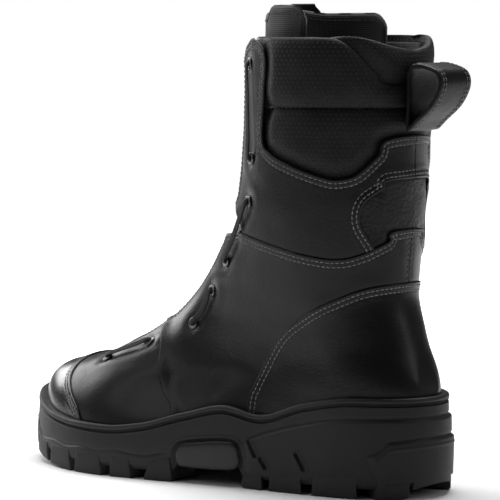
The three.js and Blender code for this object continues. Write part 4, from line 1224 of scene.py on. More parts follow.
def make_collar(lines):
    fronts, lows, tops, crescents, bottoms = {}, {}, {}, {}, {}
    for side in (1, -1):
        seam = lines[side]["collar"]
        k = int(np.argmax(seam[:, 1] < COLLAR_CHANNEL))
        fronts[side] = leg.shift(seam[: k + 1], -4.0 * side)
        lows[side] = leg.shift(seam[k:], -4.0 * side)
        lows[side][-1, 0] = 0.0
        tops[side] = side_run(leg, side, COLLAR_TOP, start=lambda y, z: y > 47)
        crescents[side] = side_run(leg, side, LINING_TOP)
        bottoms[side] = leg.shift(side_run(leg, side, COLLAR_TOP, start=lambda y, z: y > 103), -3.0 * side)
        bottoms[side][-1, 0] = 0.0
    channel = straight((fronts[1][-1, 0], COLLAR_CHANNEL), (fronts[-1][-1, 0], COLLAR_CHANNEL))
    top = np.vstack([tops[1], reverse(tops[-1])[1:]])
    upper_roll = Panel(leg, [("roll", top), ("tucked", fronts[-1]), ("roll", reverse(channel)),
                             ("tucked", reverse(fronts[1]))], dents=padding, spacing=2.4)
    rolls = [add_piece("collar_upper_leather", upper_roll.solid(PADDED_INNER), PERFORATED, "collar_leather",
                       "collar_upper_roll")]
    below = np.vstack([lows[1], reverse(lows[-1])[1:]])
    lower_roll = Panel(leg, [("roll", channel), ("tucked", reverse(below))], dents=padding, spacing=2.4)
    rolls.append(add_piece("collar_lower_leather", lower_roll.solid(PADDED_INNER), PERFORATED,
                           "collar_leather", "collar_lower_roll"))
    row = resample(channel, 0.8)[8:-8]
    place, normal = leg.at(row), leg.normal(row)
    stitches = joined(stitch_points(place - 2.5 * normal, normal))
    add_piece("stitching_collar_channel", stitches, THREAD_CLOTH, "webbing")

    roll_top = np.vstack([crescents[1], reverse(crescents[-1])[1:]])
    roll_low = np.vstack([bottoms[1], reverse(bottoms[-1])[1:]])
    roll = Panel(leg, [("roll", roll_top), ("none", np.vstack([roll_top[-1:], roll_low[-1:]])),
                       ("tucked", reverse(roll_low)), ("none", np.vstack([roll_low[:1], roll_top[:1]]))],
                 base=0.9, dents=padding, spacing=2.2)
    o = add_piece("collar_lining_padding", roll.solid(PADDED_INNER), PERFORATED, "lining",
                  "collar_lining_roll")


def padding(p):
    """Small hills and puckers of a foam-backed cover."""
    x, y, z = p.T
    ripple = np.sin(0.33 * y + 0.6 * np.sin(0.1 * z)) * np.sin(0.21 * z + 0.12 * x)
    return 0.16 * ripple + 1.4 * undulation(p)


# ---------------------------------------------------------------- slabs: sheets with a thickness
def slab(place, us, vs, outer, inner):
    """A closed solid over a grid of u and v, and its surface layout.

    place(u, v, offset) takes arrays; outer and inner are offsets or functions of u and v.
    """
    u, v = (a.ravel() for a in np.meshgrid(us, vs))
    level = [f(u, v) if callable(f) else np.full(len(u), float(f)) for f in (outer, inner)]
    points = np.vstack([place(u, v, o) for o in level])
    n, rows = len(us), len(vs)
    count = n * rows
    faces = grid_faces(rows, n)
    faces += [tuple(reversed([i + count for i in f])) for f in faces]
    rim = [*range(n), *(j * n + n - 1 for j in range(1, rows)),
           *((rows - 1) * n + i for i in range(n - 2, -1, -1)), *(j * n for j in range(rows - 2, 0, -1))]
    faces += [(b, a, a + count, b + count) for a, b in zip(rim, rim[1:] + rim[:1])]
    uv = np.vstack([np.stack([u, v], 1)] * 2)
    return points, outward(points, faces), uv


def dense(start, end, count, edge=0.0):
    """Values from start to end, closer together at both ends."""
    t = np.linspace(0, 1, count)
    if edge:
        t = (1 - edge) * t + edge * (0.5 - 0.5 * np.cos(np.pi * t))
    return start + (end - start) * t


def leg_skin(angle, z, offset):
    p, n = skin(angle, z)
    return p + n * np.asarray(offset)[:, None]


TONGUE_OUT, TONGUE_IN = -11.5, -15.5
TONGUE_WIDTH, TONGUE_LENGTH, TONGUE_LOW = 190.0, 198, 81


def make_tongue():
    width = TONGUE_WIDTH

    def shape(u, v):
        t = u / width
        bare = np.minimum(t, 1 - t)
        top = 290 + 3 * ease(0.25, 0.05, np.abs(t - 0.5)) - 13 * (1 - quarter_round(bare / 0.07))
        top = top + 5.5 * ease(0.27, 0.2, t)
        z = TONGUE_LOW + (top - TONGUE_LOW) * v
        wing = 2.25 - 0.8 * ease(95, 170, z)
        return wing + (2 * np.pi - 2 * wing) * t, z

    def fat(u, v):
        side = quarter_round(np.minimum(u, width - u) / 3.0)
        end = quarter_round((1 - v) * TONGUE_LENGTH / 3.0)
        across = ease(8, 14, np.minimum(u, width - u))
        quilt = 0.5 * np.exp(-((((v * TONGUE_LENGTH) % 46) - 23) / 2.2) ** 2) * across
        return np.minimum(side, end) - 0.22 * quilt

    def place(u, v, offset):
        angle, z = shape(u, v)
        return leg_skin(np.where(angle > np.pi, angle - 2 * np.pi, angle), z, offset)

    middle, half = (TONGUE_OUT + TONGUE_IN) / 2, (TONGUE_OUT - TONGUE_IN) / 2
    us, vs = dense(0, width, 150, 0.35), 1 - dense(0, 1, 130, 0.3)[::-1]
    points, faces, uv = slab(
        place, us, vs, lambda u, v: middle + half * fat(u, v) + 0.1 * np.sin(0.3 * u + 9 * v),
        lambda u, v: middle - half * fat(u, v))
    uv[:, 1] *= TONGUE_LENGTH
    o = add_piece("tongue_padding", (points, faces, uv), TEXTILE, "tongue_fabric", "tongue")
    # the seam beside the edge of the tongue
    rows = []
    v = np.linspace(0.5, 0.985, 160)
    for u in (4.2, width - 4.2):
        full = np.full(len(v), u)
        base = place(full, v, np.full(len(v), TONGUE_OUT + 0.05))
        rows += stitch_points(base, base - place(full, v, np.full(len(v), TONGUE_OUT - 1)))
    u = np.linspace(6, width - 6, 260)
    full = np.full(len(u), 1 - 4.5 / TONGUE_LENGTH)
    for level, sign in ((TONGUE_OUT + 0.05, 1), (TONGUE_IN - 0.05, -1)):
        base = place(u, full, np.full(len(u), level))
        rows += stitch_points(base, base - place(u, full, np.full(len(u), level - sign)))
    add_piece("stitching_tongue", joined(rows), DARK_THREAD, "webbing")


def round_slab(place, us, vs, middle, half, bare):
    """A slab of about one thickness, round where bare(u, v), the distance to its open edges, is small."""
    def fat(u, v):
        return half * quarter_round(bare(u, v) / 0.8)

    return slab(place, us, vs, lambda u, v: middle + fat(u, v), lambda u, v: middle - fat(u, v))


TAB_START, TAB_END, TAB_LOW, TAB_TOP = 12, 37, 266, 296


def make_tab():
    def place(u, v, offset):
        narrow = 4 * (2 * (u - TAB_START) / (TAB_END - TAB_START) - 1) ** 3 * ease(TAB_TOP - 6, TAB_TOP, v)
        return on_skin(-1, u - narrow, v, offset)

    def bare(u, v):
        return np.minimum(np.minimum(u - TAB_START, TAB_END - u), TAB_TOP - v)

    tab = round_slab(place, dense(TAB_START, TAB_END, 26, 0.6), dense(TAB_LOW, TAB_TOP, 30, 0.6), -9.15, 0.75,
                     bare)
    add_piece("top_tab_leather", tab, STRAP_LEATHER, "toe_leather", "top_tab")


# The lining's flat size and the heights of its ends.
LINING_WIDTH, LINING_LENGTH, LINING_LOW, LINING_HIGH = 300, 216, 60, 272


def make_lining():
    def place(u, v, offset):
        """The lining goes round the leg as far as the facings, and is cut lower at the back."""
        z = LINING_LOW + (LINING_HIGH - LINING_LOW) * v / LINING_LENGTH
        extent = np.abs(front_angle(1, np.maximum(throat(z) + 16, 31), z))
        angle = extent * (2 * (u / LINING_WIDTH) - 1)
        top = np.minimum(LINING_HIGH, np.interp(leg_y(angle, z), [100, 118, 136], [290, 266, 257]))
        return leg_skin(angle, LINING_LOW + (top - LINING_LOW) * v / LINING_LENGTH, offset)

    lining = slab(place, dense(0, LINING_WIDTH, 150), dense(0, LINING_LENGTH, 110), -5.1, -6.5)
    add_piece("lining_cloth", lining, LINING_CLOTH, "lining", "lining")


def foot_ring(offset, angle):
    y = (TOE + HEEL) / 2 - ((HEEL - TOE) / 2 + offset) * np.cos(angle)
    return outline_x(angle) + offset * np.sin(angle), y


def make_footbed():
    angles = np.linspace(0, 2 * np.pi, 180, endpoint=False)
    # The plate and the insole board below it, with the gaps round them.
    lift = 0.4 + 1 + 0.4 + 2 + 0.4
    rings = []
    # From the middle of the top over the edge to the middle of the underside: (share of the outline, z).
    profile = [(0.02, 3.6), (0.25, 3.6), (0.5, 3.7), (0.75, 4.0), (0.9, 4.8), (0.97, 5.4), (1.0, 5.2),
               (1.0, 0.2), (0.5, 0.1), (0.02, 0.1)]
    for share, height in profile:
        x, y = foot_ring(-9.5, angles)
        cx, cy = np.clip(middle_x(y), -9, 0), np.clip(y, -110, 110)
        px, py = cx + (x - cx) * share, cy + (y - cy) * share
        rings.append(np.stack([px, py, floor_z(py) + lift + height], 1))
    points, faces = tube_around(rings)
    o = add_piece("footbed_foam", (points, faces, points[:, :2]), FELT, "footbed", "footbed")


# ---------------------------------------------------------------- zip
def zip_y(z):
    z = np.asarray(z, float)
    return np.where(z < ZIP_STRAIGHT, ridge_y(z), ridge_y(ZIP_STRAIGHT) + (z - ZIP_STRAIGHT) * ZIP_SLOPE)


def zip_rise(x, z):
    """How far the zip stands up between the facings below the straight part."""
    share = 1 - ease(4, np.maximum(throat(z) - 1, 8), x)
    return 6.5 * ease(172, 142, z) * ease(84, 100, z) * share


def on_zip(x, z, offset):
    x, z, offset = paired(np.atleast_1d(x), z, offset)
    offset = offset + zip_rise(np.abs(x), z)
    slope = np.where(z < ZIP_STRAIGHT, ridge_y(z + 0.5) - ridge_y(z - 0.5), ZIP_SLOPE)
    n = unit(np.stack([np.zeros(len(z)), -np.ones(len(z)), slope], 1))
    y = zip_y(z)
    return np.stack([middle_x(y) + x, y, z], 1) + n * offset[:, None]


TOOTH_PITCH = 2.45
# Heights of the zip panels' ends, their flat width, and x of their edges beside the teeth.
ZIP_LOW, ZIP_TOP, ZIP_WIDTH, ZIP_EDGE = 84, 276, 40, 5


def make_zip():
    for name, side in SIDES:
        def on_tape(u, v, offset, side=side):
            return on_skin(side, u, v, offset + zip_rise(u, v))

        def place(u, v, offset, on_tape=on_tape):
            return on_tape(ZIP_EDGE + (throat(v) + 12.5 - ZIP_EDGE) * u / ZIP_WIDTH, v, offset)

        panel = round_slab(place, dense(0, ZIP_WIDTH, 44, 0.4), dense(ZIP_LOW, ZIP_TOP, 150, 0.2), -7.0, 0.8,
                           lambda u, v: np.minimum(u, ZIP_TOP - v))
        add_piece(f"zip_panel_leather_{name}", panel, LEATHER, "upper_leather", f"zip_panel_{name}")
        rows = []
        z = np.linspace(92, 272, 240)
        for u in (2.6, 5.4):
            base = place(np.full(len(z), u), z, np.full(len(z), -6.15))
            rows += stitch_points(base, base - place(np.full(len(z), u), z, np.full(len(z), -7.15)))
        add_piece(f"stitching_zip_{name}", joined(rows), THREAD_CLOTH, "webbing")

        tape = slab(on_tape, dense(3.6, 7.4, 8), dense(ZIP_LOW, ZIP_TOP, 120), -8.35, -9.05)
        add_piece(f"zip_tape_cloth_{name}", tape, TAPE, "webbing", f"zip_tape_{name}")
        start = 84.8 + (0 if side > 0 else TOOTH_PITCH / 2)
        teeth = joined([tooth(side, z) for z in np.arange(start, 269, TOOTH_PITCH)])
        add_piece(f"zip_teeth_metal_{name}", teeth, BLACK_METAL, "zip_metal", f"zip_teeth_{name}")


# Sections of a tooth, from its head near the middle line to its foot: (x, half height, half depth).
TOOTH_SECTIONS = [(-0.25, 0.45, 0.5), (0.1, 0.78, 0.85), (0.8, 0.78, 0.9), (1.3, 0.5, 0.85), (2.5, 0.62, 1.0),
                  (2.9, 0.5, 0.8)]
TOOTH_CORNERS = [(-1, -0.6), (-1, 0.6), (-0.6, 1), (0.6, 1), (1, 0.6), (1, -0.6), (0.6, -1), (-0.6, -1)]


def tooth(side, z):
    """One moulded tooth: a rounded head near the middle line and a foot gripping the tape."""
    return tube_around([
        np.vstack([on_zip(side * x, z + half * a, -5.75 + depth * b) for a, b in TOOTH_CORNERS])
        for x, half, depth in TOOTH_SECTIONS])


# ---------------------------------------------------------------- eyelets and laces
def frame_at(centre, normal):
    normal = normal / np.linalg.norm(normal)
    side = np.cross([0, 0, 1.0], normal)
    side /= np.linalg.norm(side)
    return side, np.cross(normal, side)


def ring_solid(centre, normal, profile, count=36):
    """A closed ring: profile is a loop of (radius, height) points."""
    a, b = frame_at(centre, normal)
    normal = normal / np.linalg.norm(normal)
    turn = np.linspace(0, 2 * np.pi, count, endpoint=False)
    rings = np.array([centre + r * (np.cos(turn)[:, None] * a + np.sin(turn)[:, None] * b) + h * normal
                      for r, h in profile])
    n = len(profile)
    faces = [(k * count + i, k * count + (i + 1) % count, ((k + 1) % n) * count + (i + 1) % count,
              ((k + 1) % n) * count + i) for k in range(n) for i in range(count)]
    points = rings.reshape(-1, 3)
    return points, outward(points, faces)


EYELET_PROFILE = [(2.0, -1.8), (2.0, 0.55), (2.15, 0.95), (2.55, 1.2), (3.0, 1.25), (3.5, 1.1), (3.85, 0.75),
                  (3.95, 0.45), (3.7, 0.35), (2.6, 0.2), (2.45, -0.2), (2.45, -1.8)]


def panel_eyelet_xz(index):
    z = max(EYELETS[index][0], 86 + 6 * (7 - index))
    return float(throat(z)) - 3.5, z


def make_eyelets():
    for name, side in SIDES:
        small = []
        for k in range(8):
            x, z = eyelet_xz(k)
            p, n = skin(front_angle(side, x, z), z)
            ring = ring_solid(p[0] - 0.45 * n[0], n[0], EYELET_PROFILE)
            add_piece(f"eyelet_ring_{name}_{k + 1}", ring, BLACK_METAL, "eyelet_metal",
                      f"eyelet_{name}_{k + 1}")
            x, z = panel_eyelet_xz(k)
            p, n = skin(front_angle(side, x, z), z)
            profile = [(0.75 * r, 0.8 * h) for r, h in EYELET_PROFILE]
            small.append(ring_solid(p[0] - 6.9 * n[0], n[0], profile))
        add_piece(f"panel_eyelet_rings_{name}", joined(small), BLACK_METAL, "eyelet_metal")


# How far the lace stands out: over the facing, between it and the zip panel, and behind the zip panel.
LACE_OVER, LACE_UNDER, LACE_BEHIND = 1.9, -3.9, -9.4


def make_laces():
    for name, side in SIDES:
        knots = []  # x, z, offset, width, thickness

        def stop(xz, offset, width, thick):
            knots.append((*xz, offset, width, thick))

        def run(a, b, shares, offset, width, thick):
            for t in shares:
                stop((a[0] + (b[0] - a[0]) * t, a[1] + (b[1] - a[1]) * t), offset, width, thick)

        for pair in range(4):
            a, b = eyelet_xz(2 * pair), eyelet_xz(2 * pair + 1)
            pa, pb = panel_eyelet_xz(2 * pair), panel_eyelet_xz(2 * pair + 1)
            stop(pa, LACE_BEHIND, 3.0, 1.3)
            stop(pa, -6.8, 2.4, 1.5)
            stop(pa, LACE_UNDER, 3.6, 1.1)
            run(pa, a, (0.4, 0.75), LACE_UNDER, 4.4, 1.0)
            stop(a, LACE_UNDER + 0.7, 3.2, 1.3)
            stop(a, -0.6, 2.6, 1.7)
            stop(a, 1.3, 3.4, 1.5)
            run(a, b, (0.1,), LACE_OVER, 4.6, 1.25)
            run(a, b, (0.25, 0.5, 0.75), LACE_OVER - 0.25, 5.4, 1.05)
            run(a, b, (0.9,), LACE_OVER, 4.6, 1.25)
            stop(b, 1.3, 3.4, 1.5)
            stop(b, -0.6, 2.6, 1.7)
            stop(b, LACE_UNDER + 0.7, 3.2, 1.3)
            run(b, pb, (0.25, 0.6), LACE_UNDER, 4.4, 1.0)
            stop(pb, LACE_UNDER, 3.6, 1.1)
            stop(pb, -6.8, 2.4, 1.5)
            stop(pb, LACE_BEHIND, 3.0, 1.3)
            if pair < 3:
                run(pb, panel_eyelet_xz(2 * pair + 2), (0.33, 0.67), LACE_BEHIND, 4.2, 1.0)
        data = np.array(knots)
        p, n = skin(front_angle(side, data[:, 0], data[:, 1]), data[:, 1])
        place = p + n * data[:, 2:3]
        add_piece(f"lace_ribbon_{name}", ribbon(place, n, data[:, 3], data[:, 4]), LACE_CLOTH, "lace",
                  f"lace_{name}")


def ribbon(place, normal, width, thick):
    """A flat woven band swept along points, its face towards the normals."""
    line, up = catmull(place, 8), catmull(normal, 8)
    w, h = catmull(width, 8)[:, 0] / 2, catmull(thick, 8)[:, 0] / 2
    t = unit(np.gradient(line, axis=0))
    across = np.cross(t, up)
    for i in range(len(across)):
        if i and np.dot(across[i], across[i - 1]) < 0:
            across[i] = -across[i]
        size = np.linalg.norm(across[i])
        across[i] = across[i] / size if size > 0.15 else across[i - 1]
    across -= (across * t).sum(1)[:, None] * t
    across = unit(across)
    face = np.cross(across, t)
    turn = np.linspace(0, 2 * np.pi, 20, endpoint=False)
    c = np.sign(np.cos(turn)) * np.abs(np.cos(turn)) ** 0.6
    s = np.sign(np.sin(turn)) * np.abs(np.sin(turn)) ** 0.8
    rings = [line[i] + w[i] * c[:, None] * across[i] + h[i] * s[:, None] * face[i] for i in range(len(line))]
    points, faces = tube_around(rings)
    uv = np.stack([np.tile(c * 2.6, len(line)), np.repeat(lengths_along(line), len(turn))], 1)
    return points, faces, uv


# ---------------------------------------------------------------- pull loop
LOOP_OUTLINE = [(138.2, 221), (147, 227), (157.5, 236.5), (163, 247.5), (161, 256), (152, 260), (143, 260.5),
                (138.6, 255), (138.2, 239)]


def make_pull_loop():
    path = resample(closed_line(LOOP_OUTLINE, 14), 0.8)[:-1]
    t = unit(np.roll(path, -1, axis=0) - np.roll(path, 1, axis=0))
    out = np.stack([t[:, 1], -t[:, 0]], 1)
    if ((path - path.mean(0)) * out).sum() < 0:
        out = -out
    half, thick, round_off = STRAP_WIDTH / 2, STRAP_THICKNESS, 0.8
    section = []
    for cx, cd, a0 in ((half, 0.0, 0.0), (-half, 0.0, 90.0), (-half, -thick, 180.0), (half, -thick, 270.0)):
        for a in np.radians(a0 + np.array([0, 30, 60, 90])):
            section.append((cx - np.sign(cx) * round_off + round_off * math.cos(a),
                            cd + (-round_off if cd == 0 else round_off) + round_off * math.sin(a)))
    section = np.array(section)
    wide = np.linspace(-half + round_off, half - round_off, 9)[1:-1]
    face_out = np.stack([wide[::-1], np.zeros(7)], 1)
    face_in = np.stack([wide, np.full(7, -thick)], 1)
    section = np.vstack([section[:4], face_out, section[4:12], face_in, section[12:]])
    crown = 0.35 * (1 - (section[:, 0] / half) ** 2)
    rings = []
    for (y, z), (oy, oz) in zip(path, out):
        d = section[:, 1] + crown * (section[:, 1] > -1)
        rings.append(np.stack([section[:, 0], y + oy * d, z + oz * d], 1))
    n = len(section)
    points = np.vstack(rings)
    faces = grid_faces(len(rings), n, close_u=True)
    last = (len(rings) - 1) * n
    faces += [(last + i, last + (i + 1) % n, (i + 1) % n, i) for i in range(n)]
    length = np.arange(len(path)) * 0.8
    uv = np.stack([np.tile(section[:, 0], len(path)), np.repeat(length, n)], 1)
    add_piece("pull_loop_strap", (points, outward(points, faces), uv), STRAP_LEATHER, "upper_leather",
              "pull_loop")
    free = path[:, 0] > 140.5
    start = int(np.argmax(free & ~np.roll(free, 1)))
    order = (start + np.arange(int(free.sum()))) % len(path)
    solids = []
    for x in (-half + 2.6, -half + 5.0, half - 5.0, half - 2.6):
        rise = 0.35 * (1 - (x / half) ** 2)
        place = np.stack([np.full(len(order), x), path[order, 0] + out[order, 0] * rise,
                          path[order, 1] + out[order, 1] * rise], 1)
        normal = np.stack([np.zeros(len(order)), out[order, 0], out[order, 1]], 1)
        solids += stitch_points(place, normal)
    add_piece("stitching_pull_loop", joined(solids), THREAD_CLOTH, "webbing")


# ---------------------------------------------------------------- sole
# How far the sole stands out from the foot outline.
WALL = 5.4
# Side view of the sole's wall, (y, z): slots in the heel, the step along the heel and the lugs' tops.
SLOTS = [((42, 29.5), (47, 20.5)), ((50.5, 19.5), (54, 14)), ((75, 24.5), (80.5, 15.5))]
HEEL_STEP = [(36, 26), (42, 30), (60, 36.5), (82, 42.5), (110, 47), (155, 48)]
# Outline of the plastic window in the arch.
ARCH_WINDOW = [(-8, 11), (-9, 20), (-2, 25.5), (30, 28.5), (36, 20), (35.5, 13), (28, 9.8), (0, 9.3)]
LUG_TOPS = [(-152, 30), (-140, 24.5), (-128, 16), (-115, 14.5), (-86, 13.5), (-60, 13), (-38, 13), (-27, 12),
            (-10, 15.5), (37, 9.5), (59, 12.5), (79.5, 17.5), (86, 19), (116, 24.5), (126, 28), (130.6, 33.5),
            (146, 35.5), (155, 36)]
# Blocks of the tread: (y of the bottom's ends), (y of the top's ends).
LUGS = [((-132, -113.5), (-130, -115)), ((-110, -86.5), (-108.5, -88.5)), ((-83, -60), (-81, -62)),
        ((-54, -38), (-52.5, -40)), ((-29.5, -10), (-25, -12)), ((37, 52), (38.5, 51)),
        ((56, 79), (57.5, 78)), ((86, 115), (87.5, 113)), ((124.5, 140), (129, 140.5))]
heel_step, lug_top = curve(HEEL_STEP), curve(LUG_TOPS)


def tread_floor(y):
    return ground_z(y) + 6.0


def to_segments(y, z, line):
    """Distance in the side view from points to an open line."""
    best = np.full(y.shape, 1e9)
    for (y0, z0), (y1, z1) in zip(line, line[1:]):
        dy, dz = y1 - y0, z1 - z0
        t = clamp01(((y - y0) * dy + (z - z0) * dz) / (dy * dy + dz * dz))
        best = np.minimum(best, np.hypot(y - y0 - t * dy, z - z0 - t * dz))
    return best


WINDOW_LINE = resample(closed_line(ARCH_WINDOW, 6), 1.2)


def trough(d, reach):
    """1 at distance 0, falling off over about reach."""
    return np.exp(-((d / reach) ** 2))


def wall_relief(y, z):
    """Extra standing-out of the sole's side wall."""
    step = heel_step(y)
    heel = ease(38, 44, y)
    relief = heel * (1.6 * ease(0.9, -0.9, z - step) - 0.9 * trough(z - step - 1, 0.8))
    for slot in SLOTS:
        d = to_segments(y, z, slot)
        relief += -2.0 * (1 - ease(0.5, 1.3, d)) + 0.5 * trough(d - 1.9, 0.55)
    d = to_segments(y, z, WINDOW_LINE)
    relief += -1.6 * trough(d, 0.9) + 0.45 * trough(d - 2.2, 0.8)
    # a ledge above the forefoot lugs
    ledge = lug_top(y) + 2.2 + 0.8 * np.sin(0.22 * y)
    relief += ease(-14, -24, y) * (0.8 * ease(0.9, -0.9, z - ledge) - 0.4 * trough(z - ledge - 1, 0.8))
    # the raised block round the back of the heel, with a stepped top
    block = np.interp(y, [116, 126, 131, 146, 155], [24, 28, 34, 36, 36.5])
    rear = ease(122, 127, y + 0.5 * (z - 20))
    relief += rear * (1.3 * ease(0.8, -0.8, z - block) - 0.8 * trough(z - block - 1, 0.8))
    relief += rear * 0.5 * trough(z - block + 4, 0.7)
    toe_line = to_segments(y, z, [(-140, 26), (-115, 8)])
    relief += -1.1 * trough(toe_line, 0.9)
    return relief


# The groove below the sole's rim, from its lower to its upper edge: (depth, height).
GROOVE_SECTION = [(0.15, -0.8), (0.6, -0.5), (1.3, -0.25), (1.5, 0.0), (1.3, 0.25), (0.6, 0.5), (0.1, 0.75)]


def make_sole():
    angles = np.linspace(0, 2 * np.pi, 940, endpoint=False)
    rings = []

    def ring(offset, z):
        x, y = foot_ring(np.broadcast_to(offset, angles.shape), angles)
        rings.append(np.stack([x, y, np.broadcast_to(z, angles.shape)], 1))

    _, y = foot_ring(0.0, angles)
    low, rim = tread_floor(y), rim_z(y)
    groove = rim - 4.6
    ring(-18.0, low)
    ring(-2.0, low)
    for a in np.radians([0, 30, 60, 85]):
        ring(WALL - 2.2 + 1.6 * math.sin(a), low + 1.8 * (1 - math.cos(a)))
    for t in np.linspace(0.03, 1, 62):
        z = low + 2.0 + (groove - 1.0 - low - 2.0) * t
        bulge = 0.5 * math.sin(math.pi * min(1.0, t * 1.05))
        ring(WALL - 0.6 + bulge + wall_relief(y, z), z)
    for depth, up in GROOVE_SECTION:
        ring(WALL - 0.5 - depth, groove + up)
    for a in np.radians(np.linspace(-70, 90, 10)):
        ring(WALL - 2.2 + 1.9 * math.cos(a), rim - 1.9 + 1.9 * math.sin(a))
    ring(WALL - 4.0, rim - 0.1)
    ring(-1.5, rim - 0.8)
    add_piece("sole_wall", tube_around(rings), SOLE_FOAM, "midsole_foam", "midsole", "rand")
    make_lugs()
    make_arch_inserts()


def lug_section(proud, inner):
    """Corners of a lug's section, from its inner bottom round the outside: (level, offset)."""
    return (0, inner), (0, proud), (0.5, proud + 0.25), (1, proud - 0.2), (1, inner)


def lug(side, bottom, top, proud, inner):
    """A block of the tread between y values at its bottom and top, from the side wall inwards."""
    steps = max(4, int(abs(bottom[1] - bottom[0]) / 1.6))
    rings = []
    for t in np.linspace(0, 1, steps + 1):
        y0 = bottom[0] + (bottom[1] - bottom[0]) * t
        y1 = top[0] + (top[1] - top[0]) * t
        z0, z1 = ground_z(y0), lug_top(y1)
        ring = []
        for level, offset in lug_section(proud, inner):
            x, y = foot_ring(offset, angle_of(y0 + (y1 - y0) * level) * side)
            ring.append((float(x), float(y), float(z0 + (z1 - z0) * level)))
        rings.append(np.array(ring))
    return tube_around(rings)


def end_lug(y_limit, proud, inner, front):
    """The block round the toe or the heel."""
    limit = float(angle_of(y_limit))
    middle, half = (0.0, limit) if front else (math.pi, math.pi - limit)
    rings = []
    for t in np.linspace(-1, 1, 41):
        angle = middle + half * t
        _, edge_y = foot_ring(proud, angle)
        z0, z1 = ground_z(edge_y), lug_top(edge_y)
        ring = []
        for level, offset in lug_section(proud, inner):
            x, y = foot_ring(offset, angle)
            ring.append((float(x), float(y), float(z0 + (z1 - z0) * level)))
        rings.append(np.array(ring))
    return tube_around(rings)


def soften(o, width, segments=2):
    """Rounds the edges of a piece, by a width in metres."""
    bevelled = o.modifiers.new("soft edges", "BEVEL")
    bevelled.width, bevelled.segments = width, segments
    bevelled.limit_method, bevelled.angle_limit = "ANGLE", math.radians(35)
    bevelled.harden_normals = False


# Blocks in the middle of the tread: (y of the two ends, half width).
CENTRE_BLOCKS = [(-118, -100, 13), (-94, -76, 14), (-70, -50, 13), (-44, -24, 9), (45, 60, 8), (68, 82, 9),
                 (90, 108, 9)]


def make_lugs():
    solids = [lug(side, bottom, top, WALL + 1.0, -17.0) for side in (1, -1) for bottom, top in LUGS]
    solids.append(end_lug(-136, WALL + 0.6, -20.0, True))
    solids.append(end_lug(141.5, WALL + 1.0, -20.0, False))
    solids += [centre_block(*block) for block in CENTRE_BLOCKS]
    soften(add_piece("sole_tread", joined(solids), RUBBER, "outsole_rubber", "outsole"), 0.0016, 3)


def centre_block(y0, y1, half):
    """A chevron in the middle of the tread."""
    middle = float(middle_x((y0 + y1) / 2))
    low = float(ground_z((y0 + y1) / 2)) + 0.1
    rings = []
    for t in np.linspace(-1, 1, 9):
        bend = 5 * (1 - abs(t))
        corners = ((y0, low), (y1, low), (y1, low + 7), (y0, low + 7))
        rings.append(np.array([(middle + half * t, y + bend, z) for y, z in corners]))
    return tube_around(rings)


# From the middle of a window to its rim: (share of the outline, how far it stands out).
WINDOW_PROFILE = [(0.02, 0.75), (0.3, 0.75), (0.55, 0.7), (0.75, 0.6), (0.86, 0.45), (0.92, 0.2),
                  (0.95, -0.3), (0.96, -1.2)]


def make_arch_inserts():
    centre = WINDOW_LINE.mean(0)
    for name, side in SIDES:
        rings = []
        for share, rise in WINDOW_PROFILE:
            y, z = (centre + (WINDOW_LINE[:-1] - centre) * share).T
            x, yy = foot_ring(WALL + rise + 0.1, angle_of(y) * side)
            rings.append(np.stack([x, yy, z], 1))
        add_piece(f"arch_window_{name}", tube_around(rings), SHINY_PLASTIC, "arch_plastic",
                  f"arch_insert_{name}")


# ---------------------------------------------------------------- CAD nodes that stay
def dress_cad_nodes():
    """Gives each CAD node that stays its material, and the small ones rounded edges."""
    kept = {"puncture_plate": (STEEL, 0), "safety_toe_cap": (STEEL, 0), "insole_board": (BOARD, 0),
            "heel_stiffener": (BOARD, 0), "zip_slider": (BLACK_METAL, 0.0003),
            "zip_pull": (BLACK_METAL, 0.0003), "zip_top_stop": (BLACK_METAL, 0.0004),
            "zip_bottom_stop": (BLACK_METAL, 0.0004)}
    for name, (material, rounded) in kept.items():
        o = frame["nodes"][name]
        o.data.materials.clear()
        o.data.materials.append(material)
        if rounded:
            soften(o, rounded)


# ---------------------------------------------------------------- stage, in metres
WORLD_LIGHT = 0.05
STAGE_MIDDLE = (0, 0, 0.13)
FLOOR_SIZE = 6.0
# name, place (right, near, up), target, width, height, watts
LIGHTS = [
    ("overhead", (0, -0.35, 1.25), (0, 0, 0), 1.2, 0.9, 24),
    ("key_left", (-1.2, -0.8, 0.85), STAGE_MIDDLE, 0.6, 0.9, 7),
    ("rim_left", (-1.0, -1.5, 0.65), (0, 0, 0.05), 0.8, 0.5, 7.5),
    ("side_left", (-1.2, 0.5, 0.9), STAGE_MIDDLE, 0.35, 0.9, 2.4),
    ("fill_right", (1.25, 0.3, 0.9), STAGE_MIDDLE, 0.3, 1.0, 2.6),
]
CAMERA_AZIMUTH, CAMERA_ELEVATION, CAMERA_DISTANCE = 126.7, 4.9, 1.99
CAMERA_LENS, CAMERA_SHIFT = 228.0, (0.0267, 0.0045)
CAMERA_TARGET_Z = 140  # mm


def area_light(name, place, target, width, height, power):
    data = bpy.data.lights.new(name, "AREA")
    data.energy, data.size, data.color = power, width, (1, 1, 1)
    data.shape, data.size_y = "RECTANGLE", height
    o = bpy.data.objects.new(name, data)
    o.location = place
    o.rotation_euler = (Vector(target) - Vector(place)).to_track_quat("-Z", "Y").to_euler()
    bpy.context.scene.collection.objects.link(o)


def seen_from_camera(right, near, up):
    """A place to the right, towards the camera and up, as the camera stands, from the boot's middle."""
    a = math.radians(CAMERA_AZIMUTH)
    return (math.cos(a) * right + math.sin(a) * near, math.sin(a) * right - math.cos(a) * near, up)


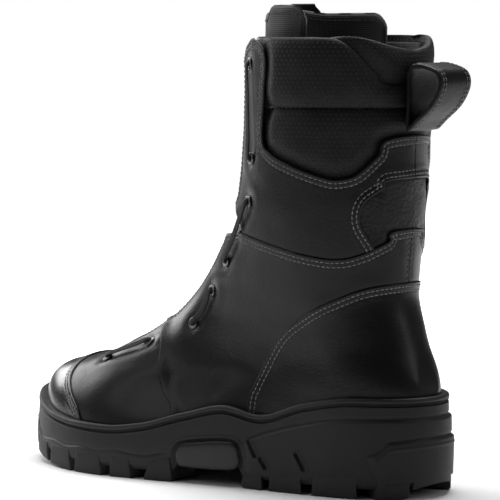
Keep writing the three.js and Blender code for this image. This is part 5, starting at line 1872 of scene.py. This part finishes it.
def make_stage():
    scene = bpy.context.scene
    scene.view_settings.view_transform = "Standard"
    world = bpy.data.worlds.new("studio")
    scene.world = world
    world.use_nodes = True
    tree = world.node_tree
    background = tree.nodes["Background"]
    path = tree.nodes.new("ShaderNodeLightPath")
    strength = tree.nodes.new("ShaderNodeMapRange")
    strength.inputs["To Min"].default_value = WORLD_LIGHT
    strength.inputs["To Max"].default_value = 1.0
    tree.links.new(path.outputs["Is Camera Ray"], strength.inputs["Value"])
    background.inputs["Color"].default_value = (1, 1, 1, 1)
    tree.links.new(strength.outputs[0], background.inputs["Strength"])
    floor = bpy.data.meshes.new("floor")
    corners = ((-1, -1), (1, -1), (1, 1), (-1, 1))
    floor.from_pydata([(FLOOR_SIZE * x, FLOOR_SIZE * y, 0) for x, y in corners], [], [(0, 1, 2, 3)])
    o = bpy.data.objects.new("floor", floor)
    scene.collection.objects.link(o)
    paper = Shader("paper", Roughness=0.9, Specular_IOR_Level=0.1)
    paper.colour(paper.ramp(paper.noise(3, 3), (0.0, (0.93, 0.93, 0.93)), (1.0, (0.96, 0.96, 0.96))))
    # The paper is lit from within a little way behind the boot, at a fixed place on the floor.
    away = paper.node("ShaderNodeVectorMath", operation="DOT_PRODUCT")
    paper.link(paper.place(1.0), away.inputs[0])
    away.inputs[1].default_value = seen_from_camera(0, -1, 0)
    glow = paper.ramp(away.outputs["Value"], (0.25, 0.0), (0.7, 1.0))
    paper.link(glow, paper.bsdf.inputs["Emission Strength"])
    paper.bsdf.inputs["Emission Color"].default_value = (1, 1, 1, 1)
    floor.materials.append(paper.material)
    for name, place, target, width, height, power in LIGHTS:
        area_light(name, seen_from_camera(*place), target, width, height, power)


def make_camera():
    data = bpy.data.cameras.new("camera")
    data.lens, data.sensor_width = CAMERA_LENS, 36.0
    data.shift_x, data.shift_y = CAMERA_SHIFT
    camera = bpy.data.objects.new("camera", data)
    a, e = math.radians(CAMERA_AZIMUTH), math.radians(CAMERA_ELEVATION)
    back = Vector((math.sin(a) * math.cos(e), -math.cos(a) * math.cos(e), math.sin(e)))
    target = Vector((SHIFT + [0, 0, CAMERA_TARGET_Z]) / 1000)
    camera.location = target + back * CAMERA_DISTANCE
    camera.rotation_mode = "QUATERNION"
    camera.rotation_quaternion = (-back).to_track_quat("-Z", "Y")
    bpy.context.scene.collection.objects.link(camera)
    bpy.context.scene.camera = camera


make_camera()
make_stage()
seam_lines = make_upper()
make_collar(seam_lines)
make_tongue()
make_tab()
make_lining()
make_footbed()
make_zip()
make_eyelets()
make_laces()
make_pull_loop()
make_sole()
dress_cad_nodes()
